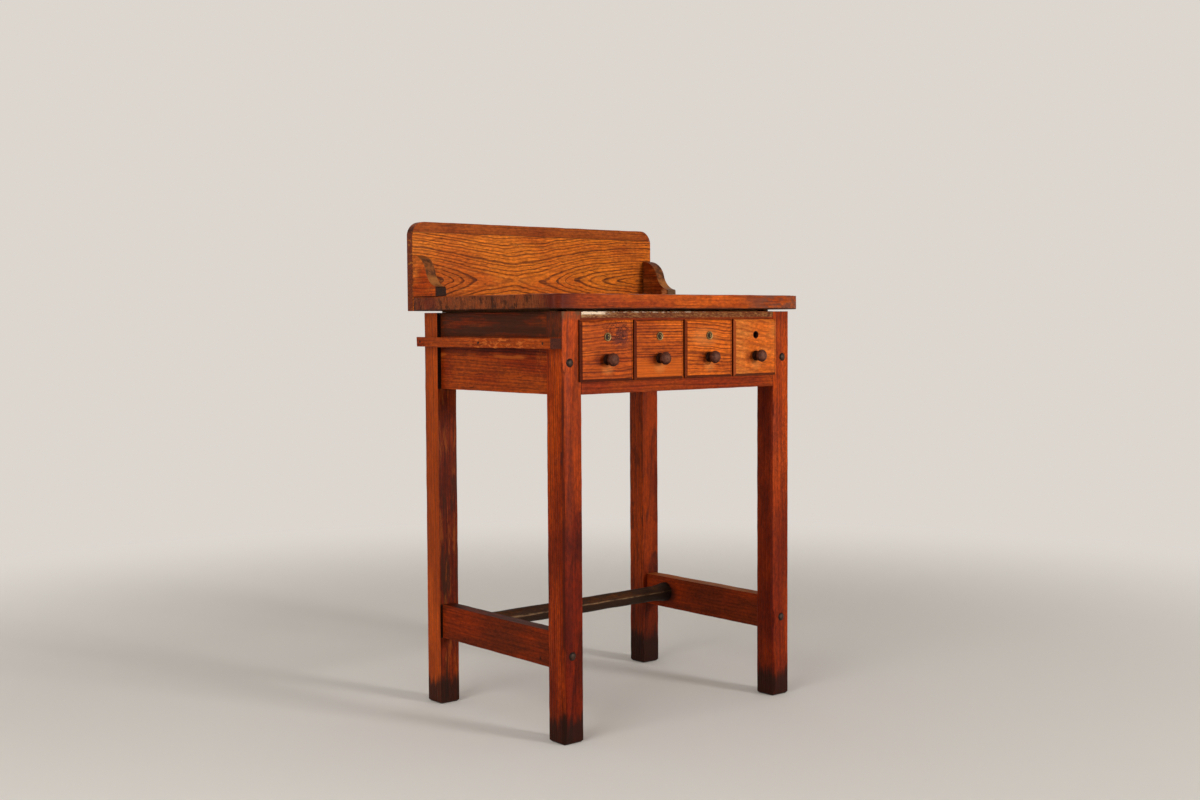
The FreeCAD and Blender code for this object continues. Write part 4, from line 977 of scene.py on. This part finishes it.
class BENCH_OT_front_rails(BenchOperator, bpy.types.Operator):
    """Make the rails over and under the drawers"""
    bl_idname = "bench.front_rails"
    bl_label = "Front rails"

    def execute(self, context):
        wood = woods()
        for count, node in enumerate(("front_bottom_rail", "front_top_rail")):
            sawn = Sawn(node, "XZY", ring=0.007, heart=(0.08, 0.1), seed=20 + count)
            finish = oak(node + "_oak", sawn, wood.rail, wood.leg_deep, wood.leg_line, 0.5)
            if node == "front_top_rail":
                self.add_chipped_edge(finish)
            _, left_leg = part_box("leg_front_left")
            right_leg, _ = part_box("leg_front_right")
            finish.seam("X", left_leg.x)
            finish.seam("X", right_leg.x)
            worn_board(node, "X", finish, seed=10.0 + count)
        return {"FINISHED"}

    def add_chipped_edge(self, finish):
        """Grime over most of the rail's face, and bare wood where its upper edge is chipped."""
        _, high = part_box("front_top_rail")
        _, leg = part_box("leg_front_left")
        face = finish.ramp(finish.facing["Y"], -0.3, -0.8)
        patches = finish.patches((30, 30, 160))
        upper = finish.ramp(finish.at["Z"], high.z - 0.0145, high.z - 0.0115)
        grimy = finish.ramp(patches, 0.2, 0.55, 0.6, 0.85)
        finish.stain(finish.both(face, upper, grimy), srgb(104, 56, 26))
        specks = finish.patches((130, 60, 420), (5, 0, 0), 4.0, 0.7)
        finish.stain(finish.both(face, upper, finish.ramp(specks, 0.5, 0.6)), srgb(158, 112, 62), 0.6)
        finish.stain(finish.both(face, upper, finish.ramp(specks, 0.46, 0.38)), woods().soot, 0.5)
        strong = finish.ramp(finish.at["X"], leg.x + 0.085, leg.x + 0.05)
        rubbed = finish.band(finish.at["Z"], high.z - 0.012, high.z - 0.004, 0.002)
        fading = finish.ramp(finish.at["X"], leg.x + 0.12, leg.x + 0.01)
        rubbed = finish.both(face, rubbed, fading, finish.ramp(specks, 0.38, 0.56))
        finish.stain(rubbed, srgb(168, 126, 82), 0.85)
        chips = finish.patches((110, 60, 240), (1, 0, 0), 4.0, 0.7)
        edge = finish.ramp(finish.at["Z"], high.z - 0.0075, high.z - 0.005)
        finish.stain(finish.both(edge, strong, finish.ramp(chips, 0.4, 0.47)), woods().chip)
        beyond = finish.ramp(finish.at["X"], 0.1, 0.0, 0.0, 0.5)
        thin_edge = finish.ramp(finish.at["Z"], high.z - 0.004, high.z - 0.002)
        finish.stain(finish.both(thin_edge, beyond, finish.ramp(chips, 0.5, 0.56)), woods().chip)


class BENCH_OT_ledge(BenchOperator, bpy.types.Operator):
    """Make the ledge and its nails"""
    bl_idname = "bench.ledge"
    bl_label = "Ledge"

    def execute(self, context):
        wood = woods()
        sawn = Sawn("side_ledge", "YZX", ring=0.006, heart=(0.1, 0.09), seed=24)
        finish = oak("ledge_oak", sawn, wood.ledge, wood.leg_deep, wood.leg_line, 0.5,
                     end=srgb(72, 26, 5))
        patches = finish.patches((60, 60, 200), (0, 4, 0), 4.0, 0.7)
        outer = finish.faces("X", -1, 0.6)
        handled = finish.band(finish.at["Y"], -0.18, 0.04, 0.08)
        rubbed = finish.both(outer, handled, finish.ramp(patches, 0.5, 0.62))
        finish.stain(rubbed, wood.ledge_light, 0.85)
        worn_board("side_ledge", "Y", finish, depth=0.8 * sizes().top_wear, seed=13.0)
        nails = worn_and_highlit_metal("nail_steel", metals().steel, metals().steel, 0.6, "X")
        paint("side_ledge_nails", nails)
        return {"FINISHED"}


class BENCH_OT_foot_rail(BenchOperator, bpy.types.Operator):
    """Make the foot rail, worn into flats by shoes"""
    bl_idname = "bench.foot_rail"
    bl_label = "Foot rail"

    def execute(self, context):
        wood = woods()
        low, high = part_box("foot_rail")
        centre = (low + high) / 2
        _, left_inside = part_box("stretcher_left")
        right_inside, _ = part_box("stretcher_right")
        worn_depth, tenon, facets, cut_step = 0.0041, 0.013, 28, 0.014
        end, taper = 0.010, 0.032
        full = (high.z - low.z) / 2
        worn = full - worn_depth
        start, stop = left_inside.x, right_inside.x
        outline = [
            (low.x, 0.0), (low.x, tenon), (start, tenon), (start, full), (start + end, full),
            (start + end + taper, worn), (stop - end - taper, worn), (stop - end, full),
            (stop, full), (stop, tenon), (high.x, tenon), (high.x, 0.0)]
        origin = Vector((0, centre.y, centre.z))
        mesh = turned(outline, origin, AXES["X"], facets)
        cut_across(mesh, "X", cut_step)
        self.wear_into_flats(mesh, origin, start + end, stop - end)

        sawn = Sawn("foot_rail", "XZY", ring=0.006, heart=(0.01, 0.004), seed=30)
        finish = oak("foot_rail_oak", sawn, wood.foot_rail, wood.grime, wood.grime, 0.5,
                     roughness=0.55)
        patches = finish.patches((30, 110, 110), (1, 2, 3), 4.0, 0.7)
        finish.stain(finish.ramp(patches, 0.56, 0.48), wood.foot_rail_dirt_and_shade, 0.7)
        # Painted shade on the lower half of the rail.
        finish.stain(finish.ramp(finish.facing["Z"], 0.12, -0.08), wood.foot_rail_dirt_and_shade, 0.9)
        # Pale ridges: shoe wear and a painted highlight.
        ridge_wear_and_highlight = finish.band(finish.facing["Z"], 0.14, 0.34, 0.08)
        finish.stain(finish.both(ridge_wear_and_highlight, finish.ramp(patches, 0.38, 0.56)), wood.foot_rail_wear_and_highlight, 0.6)
        finish.stain(finish.ramp(finish.at["X"], stop - 0.05, stop - 0.01), srgb(26, 16, 12), 0.8)
        dress(finished(mesh, "foot_rail_wear_and_highlight"), "foot_rail", finish)
        return {"FINISHED"}

    def wear_into_flats(self, mesh, origin, start, stop):
        """Sink the worn length towards the axis in long flats, which twist a little along it."""
        flats, twist = 5, 3
        flat_depth, patch_depth = 0.0013, 0.0016
        for vertex in mesh.verts:
            if not start < vertex.co.x < stop:
                continue
            outwards = vertex.co - origin
            outwards.x = 0
            angle = math.atan2(outwards.z, outwards.y)
            flat = 0.5 + 0.5 * math.cos(flats * angle + twist * vertex.co.x)
            patchy = noise.noise(Vector((vertex.co.x * 22, angle * 0.9, 1.5)))
            depth = flat_depth * flat + patch_depth * max(patchy, 0.0)
            vertex.co -= outwards.normalized() * depth


class BENCH_OT_drawer_fronts(BenchOperator, bpy.types.Operator):
    """Make the lipped and bevelled drawer fronts"""
    bl_idname = "bench.drawer_fronts"
    bl_label = "Drawer fronts"

    def execute(self, context):
        wood = woods()
        grains = {
            1: dict(ring=0.0072, heart=(-0.3, 0.12), slope=(0.03, 0.0), wander=0.008, wave=12,
                    late=(0.42, 0.7)),
            2: dict(ring=0.0057, heart=(-0.5, 0.1), wander=0.0012, wave=9, late=(0.4, 0.65)),
            3: dict(ring=0.0068, heart=(-0.35, 0.15), slope=(-0.04, 0.0), wander=0.007, wave=10,
                    late=(0.45, 0.72)),
            4: dict(ring=0.0105, heart=(-0.3, 0.1), slope=(-0.24, 0.0), wander=0.006,
                    late=(0.05, 0.7))}
        contrasts = {1: 0.85, 2: 0.95, 3: 0.85, 4: 0.7}
        # The colour of the painted shade on each front's left bevel.
        rims = {1: (62, 20, 8), 2: (84, 30, 12), 3: (100, 38, 14), 4: (144, 62, 24)}
        figures = {
            1: self.add_crack, 2: self.add_plain_wood, 3: self.add_rubbed_patch,
            4: self.add_bare_hole}
        for count in DRAWERS:
            node = "drawer_%d_front" % count
            sawn = Sawn(node, "XZY", seed=40 + count, **grains[count])
            pale, deep, line = wood.front, wood.front_deep, wood.front_line
            if count == 4:
                pale, deep, line = wood.last_front, wood.front, wood.last_front_line
            finish = oak(node + "_oak", sawn, pale, deep, line, contrasts[count],
                         end=tuple(0.6 * value for value in wood.front_line))
            figures[count](finish)
            self.add_knob_dirt_and_shadow(finish, count)
            self.add_dark_rims(finish, node, srgb(*rims[count]))
            mesh = solid_of(node)
            soften(mesh, sizes().arris, 0.02)
            dress(finished(mesh, node + "_worn", BEVEL_CRISP), node, finish)
        return {"FINISHED"}

    def add_dark_rims(self, finish, node, rim):
        """Painted shade on the left and lower bevels, dark lines at the right and top, and painted shade on
        the sides and behind the lip.
        """
        low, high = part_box(node)
        # Painted shade on the bevels that face left and down.
        left = finish.ramp(finish.facing["X"], -0.2, -0.34)
        finish.stain(left, rim, 0.92)
        under = finish.ramp(finish.facing["Z"], -0.2, -0.34)
        finish.stain(under, woods().front_rim, 0.88)
        field_end = high.x - sizes().bevel
        line = finish.band(finish.at["X"], field_end - 0.0011, field_end + 0.0003, 0.0004)
        finish.stain(line, woods().front_rim, 0.75)
        top = finish.band(finish.at["Z"], high.z - 0.0016, high.z, 0.0008)
        finish.stain(top, woods().front_rim, 0.6)
        # Painted shade on the sides and behind the lip, in the gaps between the fronts.
        edges = finish.ramp(finish.calc("ABSOLUTE", finish.facing["Y"]), 0.5, 0.3)
        finish.stain(edges, woods().soot, 0.75)
        behind = finish.ramp(finish.at["Y"], low.y + 0.0042, low.y + 0.0056)
        finish.stain(behind, woods().soot, 0.6)

    def add_knob_dirt_and_shadow(self, finish, count):
        """A dark ring round the knob of dirt and painted contact shadow, a pale patch under it and a painted
        shadow to its left.
        """
        middle = on_front("drawer_%d_knob" % count, count)
        rubbed = finish.near(middle - Vector((0, 0, 0.018)), 0.018, (0.8, 1, 1))
        finish.stain(rubbed, srgb(206, 140, 74), 0.25)
        # Dark ring round the knob: dirt and a painted contact shadow.
        finish.stain(finish.near(middle, 0.0165), woods().grime, 0.85)
        # Painted shadow of the knob, to its left.
        handled = finish.near(middle - Vector((0.018, 0, 0.002)), 0.022, (1, 1, 1.3))
        finish.shade(handled, 0.5, 0.4, 0.36)

    def add_crack(self, finish):
        """Dark cracks and a purple-brown patch high up on the first front, and redder wood below."""
        low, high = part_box("drawer_1_front")
        place = Vector((low.x + 0.1, low.y, high.z - 0.022))
        zone = finish.near(place, 0.045, (0.8, 1, 1))
        veins = finish.patches((70, 20, 90), (4, 0, 2), 4.0, 0.7)
        patch = finish.near(place + Vector((0.006, 0, -0.014)), 0.03, (0.8, 1, 1))
        finish.stain(finish.both(patch, finish.ramp(veins, 0.36, 0.54)), srgb(92, 40, 32), 0.8)
        lower = finish.ramp(finish.at["Z"], low.z + 0.062, low.z + 0.04)
        finish.shade(lower, 0.72, 0.58, 0.52)
        crack = finish.band(veins, 0.48, 0.52, 0.012)
        finish.stain(finish.both(zone, crack), srgb(40, 16, 10))

    def add_plain_wood(self, finish):
        """Fainter grain in the lower part of the second front."""
        low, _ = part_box("drawer_2_front")
        plain = finish.ramp(finish.at["Z"], low.z + 0.048, low.z + 0.036)
        finish.stain(plain, woods().front, 0.55)

    def add_rubbed_patch(self, finish):
        """A paler patch round the lock of the third front and to its left."""
        low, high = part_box("drawer_3_front")
        place = Vector(((low.x + high.x) / 2 - 0.015, low.y, high.z - 0.038))
        finish.stain(finish.near(place, 0.045, (0.8, 1, 1.6)), srgb(196, 118, 58), 0.45)

    def add_bare_hole(self, finish):
        """Black in the hole of the lock that the last front has lost."""
        middle = on_front("drawer_4_knob", 4)
        middle.z = on_front("lock_1_case", 1).z
        hole = sizes().lock_hole
        inside = finish.ramp(finish.from_axis(middle), hole + 0.0012, hole + 0.0004)
        finish.stain(inside, woods().soot)


class BENCH_OT_drawer_boxes(BenchOperator, bpy.types.Operator):
    """Finish the dovetailed drawer boxes"""
    bl_idname = "bench.drawer_boxes"
    bl_label = "Drawer boxes"

    def execute(self, context):
        wood = woods()
        lies = {"sides": "YZX", "back": "XZY", "bottom": "XYZ"}
        for count in DRAWERS:
            for part, lie in lies.items():
                node = "drawer_%d_%s" % (count, part)
                sawn = Sawn(node, lie, ring=0.005, heart=(0.12, 0.1), seed=50 + count)
                finish = oak(node + "_wood", sawn, wood.box, wood.bare, wood.bare_line, 0.4,
                             roughness=0.6)
                paint(node, finish)
        return {"FINISHED"}


class BENCH_OT_knobs(BenchOperator, bpy.types.Operator):
    """Make the four turned knobs"""
    bl_idname = "bench.knobs"
    bl_label = "Knobs"

    def execute(self, context):
        wood = woods()
        for count in DRAWERS:
            node = "drawer_%d_knob" % count
            axis_point = on_front(node, count)
            neck = 0.0125
            mesh = self.turned_knob(node, axis_point, neck)
            sawn = Sawn(node, "YZX", ring=0.0035, heart=(0.02, 0.03), seed=60 + count)
            finish = oak(node + "_oak", sawn, wood.knob, wood.knob, wood.knob_dark, 0.6,
                         end=wood.knob, roughness=0.4)
            middle = finish.ramp(finish.from_axis(axis_point), 0.0105, 0.003)
            rubbed = finish.patches((140, 20, 140), (count, 0, 0))
            finish.stain(finish.both(middle, finish.ramp(rubbed, 0.3, 0.6)), wood.knob_worn, 0.7)
            # Painted shade on the neck, under the head.
            neck_shade = finish.band(finish.at["Y"], axis_point.y - neck, axis_point.y, 0.002)
            finish.stain(neck_shade, srgb(34, 15, 9), 0.95)
            # Painted shade on the underside of the knob.
            finish.shade(finish.ramp(finish.facing["Z"], -0.2, -0.6), 0.45, 0.4, 0.4)
            dress(finished(mesh, node + "_turned"), node, finish)
        return {"FINISHED"}

    def turned_knob(self, node, axis_point, neck):
        """A spigot in the drawer front, a hollow neck, a round head and a nearly flat crown."""
        low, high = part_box(node)
        clearance = 0.0001
        head_radius = (high.x - low.x) / 2
        reach = axis_point.y - low.y - clearance
        spigot_length, spigot = 0.010, 0.005
        base, neck_end, crown = 0.011, 0.0112, 0.012
        shoulder, crown_height = 0.002, 0.0035
        neck_hollow, crown_bulge, arc_steps = 0.0013, 0.0009, 8
        head_bulge = head_radius - (neck_end + crown) / 2 - clearance
        outline = [(-spigot_length, 0.0), (-spigot_length, spigot), (0.0, spigot), (0.0, base)]
        outline += arc((shoulder, base), (neck, neck_end), -neck_hollow, arc_steps)
        outline += arc((neck, neck_end), (reach - crown_height, crown), head_bulge, arc_steps)
        outline += arc((reach - crown_height, crown), (reach, 0.0), crown_bulge, arc_steps)
        outline.append((reach, 0.0))
        return turned(outline, axis_point, -AXES["Y"], sizes().turning_steps)


class BENCH_OT_locks(BenchOperator, bpy.types.Operator):
    """Make the rings, barrels and plugs of the drawer locks"""
    bl_idname = "bench.locks"
    bl_label = "Locks"

    def execute(self, context):
        for count in LOCKED_DRAWERS:
            case = "lock_%d_case" % count
            low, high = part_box(case)
            front, front_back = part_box("drawer_%d_front" % count)
            axis_point = on_front(case, count)
            proud, depth = front.y - low.y, high.y - front.y
            ring, bore, barrel = 0.009, 0.00455, 0.00725
            outline = [
                (-depth, bore), (proud - 0.0012, bore), (proud - 0.0005, bore + 0.0009),
                (proud - 0.0005, ring - 0.0024), (proud, ring - 0.0016), (proud, ring - 0.0006),
                (proud - 0.0006, ring), (0.0, ring), (0.0, barrel), (-depth, barrel), (-depth, bore)]
            mesh = turned(outline, axis_point, -AXES["Y"], sizes().turning_steps)
            self.add_nut(mesh, axis_point, front_back.y - front.y)
            dress(finished(mesh, case + "_turned"), case, self.ring_brass(count, axis_point, ring))
            plug = "lock_%d_plug" % count
            dress(finished(solid_of(plug), plug + "_filed"), plug,
                  self.plug_brass(count, axis_point, bore))
        return {"FINISHED"}

    def ring_brass(self, count, axis_point, ring):
        """Brass on the ring, with black dirt towards the bore and round the rim."""
        finish = worn_and_highlit_metal("lock_%d_ring_brass" % count, metals().brass_dark, metals().brass, 0.42, "Y")
        across = finish.from_axis(axis_point)
        finish.stain(finish.ramp(across, ring - 0.0020, ring - 0.0028), woods().soot, 0.9)
        finish.stain(finish.ramp(across, ring - 0.0009, ring - 0.0003), woods().soot, 0.85)
        return finish

    def plug_brass(self, count, axis_point, bore):
        """A black plug with a bright crescent of brass on its right, a painted highlight."""
        finish = worn_and_highlit_metal("lock_%d_plug_brass" % count, metals().brass_dark, metals().brass, 0.42, "Y")
        across = finish.from_axis(axis_point)
        # The crescent is a painted highlight on the right of the plug.
        crescent = finish.both(
            finish.band(across, bore * 0.5, bore * 0.95, 0.0003),
            finish.ramp(finish.at["X"], axis_point.x + 0.0004, axis_point.x + 0.0012))
        finish.stain(finish.calc("SUBTRACT", 1.0, crescent), woods().soot, 0.92)
        return finish

    def add_nut(self, mesh, axis_point, behind):
        """The nut that holds the barrel against the back of the front."""
        thickness, hole, outside, sides = 0.004, 0.0073, 0.0105, 6
        near_end, far_end = -behind, -behind - thickness
        outline = [(far_end, hole), (near_end, hole), (near_end, outside), (far_end, outside),
                   (far_end, hole)]
        nut = turned(outline, axis_point, -AXES["Y"], sides)
        data = bpy.data.meshes.new("nut")
        nut.to_mesh(data)
        nut.free()
        mesh.from_mesh(data)
        bpy.data.meshes.remove(data)


class BENCH_OT_fasteners(BenchOperator, bpy.types.Operator):
    """Make the frame bolts, nuts and screws"""
    bl_idname = "bench.fasteners"
    bl_label = "Fasteners"

    def execute(self, context):
        bolt = worn_and_highlit_metal("bolt_steel", metals().steel, metals().steel_highlight, 0.5, "Y")
        dress(finished(solid_of("frame_bolts"), "frame_bolts_worn"), "frame_bolts", bolt)
        screw = worn_and_highlit_metal("screw_steel", metals().steel, metals().steel_highlight, 0.55, "Y")
        for node in ("frame_nuts", "top_screws", "bracket_screws"):
            paint(node, screw)
        mesh = solid_of("backboard_screws")
        self.cut_slots(mesh)
        dress(finished(mesh, "backboard_screws_slotted"), "backboard_screws", screw)
        return {"FINISHED"}

    def cut_slots(self, mesh):
        """A slot in the head of each screw, whose heads lie in the back of the board."""
        mesh.normal_update()
        back = max(vertex.co.y for vertex in mesh.verts)
        heads = [face for face in mesh.faces
                 if face.normal.y > 0.99 and abs(face.calc_center_median().y - back) < 0.001]
        bmesh.ops.inset_individual(mesh, faces=heads, thickness=sizes().slot_width / 4)
        for head in heads:
            self.cut_slot(mesh, head)

    def cut_slot(self, mesh, head):
        """Sink the strip of the head's face that lies across its middle."""
        middle = head.calc_center_median()
        parts = [head]
        for side in (-1, 1):
            cut = bmesh.ops.bisect_plane(
                mesh, geom=[*parts, *{edge for face in parts for edge in face.edges},
                            *{vertex for face in parts for vertex in face.verts}],
                dist=CUT_DISTANCE, plane_co=middle + AXES["Z"] * side * sizes().slot_width / 2,
                plane_no=AXES["Z"])
            parts = [item for item in cut["geom"] if isinstance(item, bmesh.types.BMFace)]
        slot = min(parts, key=lambda face: abs(face.calc_center_median().z - middle.z))
        floor = bmesh.ops.extrude_face_region(mesh, geom=[slot])["geom"]
        bmesh.ops.delete(mesh, geom=[slot], context="FACES_ONLY")
        sunk = [item for item in floor if isinstance(item, bmesh.types.BMVert)]
        bmesh.ops.translate(mesh, verts=sunk, vec=-AXES["Y"] * sizes().slot_depth)


class BENCH_OT_inner_woodwork(BenchOperator, bpy.types.Operator):
    """Finish the runners, guides, kickers, dividers and packing strips"""
    bl_idname = "bench.inner_woodwork"
    bl_label = "Inner woodwork"

    def execute(self, context):
        wood = woods()
        lies = {
            "drawer_runners": "YXZ", "drawer_guides": "YXZ", "drawer_kickers": "YXZ",
            "drawer_dividers": "ZXY", "drawer_packing_strip": "ZXY", "top_packing_strips": "XYZ"}
        for count, (node, lie) in enumerate(lies.items()):
            sawn = Sawn(node, lie, ring=0.006, heart=(0.1, 0.1), seed=70 + count)
            # The dividers and the packing strip, seen in the gaps between the fronts, take the frame's
            # darker colours: varnished like the frame, and darker as painted shade.
            if node in ("drawer_dividers", "drawer_packing_strip"):
                finish = oak(node + "_oak", sawn, wood.leg_deep, wood.stretcher, wood.leg_line, 0.5)
            else:
                finish = oak(node + "_oak", sawn, wood.bare, wood.bare, wood.bare_line, 0.5,
                             roughness=0.65)
            paint(node, finish)
        return {"FINISHED"}


class BENCH_OT_stage(BenchOperator, bpy.types.Operator):
    """Set up the floor, the lights and the camera"""
    bl_idname = "bench.stage"
    bl_label = "Stage"

    def execute(self, context):
        stage = bpy.context.scene.bench_stage
        self.add_floor(stage)
        self.add_light("key", place=(1.8, -5.9, 1.66), power=stage.key, size=1.1)
        self.add_light("fill", place=(-3.2, -1.0, 1.7), power=stage.fill, size=2.2)
        world = bpy.data.worlds.new("even_light")
        world.use_nodes = True
        world.node_tree.nodes["Background"].inputs["Strength"].default_value = stage.ambient
        world.node_tree.nodes["Background"].inputs["Color"].default_value = (1, 1, 1, 1)
        bpy.context.scene.world = world
        bpy.context.scene.view_settings.view_transform = "Standard"

        camera = bpy.data.objects.new("camera", bpy.data.cameras.new("camera"))
        camera.data.lens = stage.lens
        level = Euler((math.radians(90) - stage.dip, 0, -stage.heading)).to_matrix()
        turned_about_axis = Matrix.Rotation(stage.roll, 3, "Z")
        camera.matrix_world = Matrix.Translation(stage.camera_place) @ (level @ turned_about_axis).to_4x4()
        bpy.context.scene.collection.objects.link(camera)
        bpy.context.scene.camera = camera
        return {"FINISHED"}

    def add_floor(self, stage):
        """A pale floor that sweeps up into a backdrop on all sides."""
        mesh = bmesh.new()
        flat_radius, sweep, wall_top, steps = 5.5, 1.6, 6.0, 8
        bmesh.ops.create_circle(mesh, cap_ends=True, segments=96, radius=flat_radius)
        rim = [edge for edge in mesh.edges if edge.is_boundary]
        for step in range(1, steps + 1):
            angle = math.radians(90) * step / steps
            out = bmesh.ops.extrude_edge_only(mesh, edges=rim)["geom"]
            rim = [item for item in out if isinstance(item, bmesh.types.BMEdge)]
            radius = flat_radius + sweep * math.sin(angle)
            height = sweep * (1 - math.cos(angle))
            for vertex in (item for item in out if isinstance(item, bmesh.types.BMVert)):
                flat = Vector((vertex.co.x, vertex.co.y)).normalized() * radius
                vertex.co = Vector((flat.x, flat.y, height))
        out = bmesh.ops.extrude_edge_only(mesh, edges=rim)["geom"]
        for vertex in (item for item in out if isinstance(item, bmesh.types.BMVert)):
            vertex.co.z = wall_top
        bmesh.ops.recalc_face_normals(mesh, faces=mesh.faces)
        bmesh.ops.reverse_faces(mesh, faces=mesh.faces)
        floor = added(mesh, "floor")
        finish = Finish("floor_paint", 0.9)
        drift = finish.cloud(finish.place, 2.0, 0.5, 0.8)
        darker = tuple(0.97 * value for value in stage.floor)
        finish.colour = finish.mix(drift, stage.floor, darker)
        self.add_backdrop(finish, stage)
        floor.data.materials.append(finish.done())

    def add_backdrop(self, finish, stage):
        """Away from the bench, what the camera or a reflection sees is plain and pale."""
        path = finish.tree.nodes.new("ShaderNodeLightPath")
        seen = finish.calc("MAXIMUM", path.outputs["Is Camera Ray"], path.outputs["Is Glossy Ray"])
        seen = finish.calc("MAXIMUM", seen, path.outputs["Is Transmission Ray"])
        start, full = 1.1, 3.0
        amount = finish.both(seen, finish.ramp(finish.magnitude(finish.place), start, full))
        glow = finish.tree.nodes.new("ShaderNodeEmission")
        finish.feed(glow.inputs["Color"], stage.backdrop)
        mixed = finish.tree.nodes.new("ShaderNodeMixShader")
        finish.feed(mixed.inputs[0], amount)
        finish.tree.links.new(finish.surface.outputs[0], mixed.inputs[1])
        finish.tree.links.new(glow.outputs[0], mixed.inputs[2])
        finish.tree.links.new(mixed.outputs[0], finish.tree.nodes["Material Output"].inputs["Surface"])

    def add_light(self, name, place, power, size):
        """A square lamp that points at the middle of the bench."""
        light = bpy.data.objects.new(name, bpy.data.lights.new(name, "AREA"))
        light.data.energy = power
        light.data.size = size
        target = Vector((0, 0, 0.6))
        light.location = place
        light.rotation_euler = (target - light.location).to_track_quat("-Z", "Y").to_euler()
        bpy.context.scene.collection.objects.link(light)


OPERATORS = (
    BENCH_OT_top, BENCH_OT_backboard, BENCH_OT_brackets, BENCH_OT_legs, BENCH_OT_side_boards,
    BENCH_OT_front_rails, BENCH_OT_ledge, BENCH_OT_foot_rail, BENCH_OT_drawer_fronts,
    BENCH_OT_drawer_boxes, BENCH_OT_knobs, BENCH_OT_locks, BENCH_OT_fasteners,
    BENCH_OT_inner_woodwork, BENCH_OT_stage)


class BENCH_PT_finish(bpy.types.Panel):
    """Lists the bench's pieces and their settings"""
    bl_idname = "BENCH_PT_finish"
    bl_label = "Jeweller's bench"
    bl_space_type = "VIEW_3D"
    bl_region_type = "UI"
    bl_category = "Bench"

    def draw(self, context):
        layout = self.layout
        for operator in OPERATORS:
            layout.operator(operator.bl_idname)
        for settings in (context.scene.bench_woods, context.scene.bench_metals,
                         context.scene.bench_sizes, context.scene.bench_stage):
            box = layout.box()
            for name in settings.__annotations__:
                box.prop(settings, name)


SETTINGS = {
    "bench_woods": BenchWoodColours, "bench_metals": BenchMetalColours,
    "bench_sizes": BenchSizes, "bench_stage": BenchStage}


def register():
    for name, group in SETTINGS.items():
        bpy.utils.register_class(group)
        setattr(bpy.types.Scene, name, PointerProperty(type=group))
    for item in (*OPERATORS, BENCH_PT_finish):
        bpy.utils.register_class(item)


def unregister():
    for item in (BENCH_PT_finish, *reversed(OPERATORS)):
        bpy.utils.unregister_class(item)
    for name, group in reversed(SETTINGS.items()):
        delattr(bpy.types.Scene, name)
        bpy.utils.unregister_class(group)


def main():
    register()
    for operator in OPERATORS:
        group, name = operator.bl_idname.split(".")
        getattr(getattr(bpy.ops, group), name)()


if __name__ == "__main__":
    main()
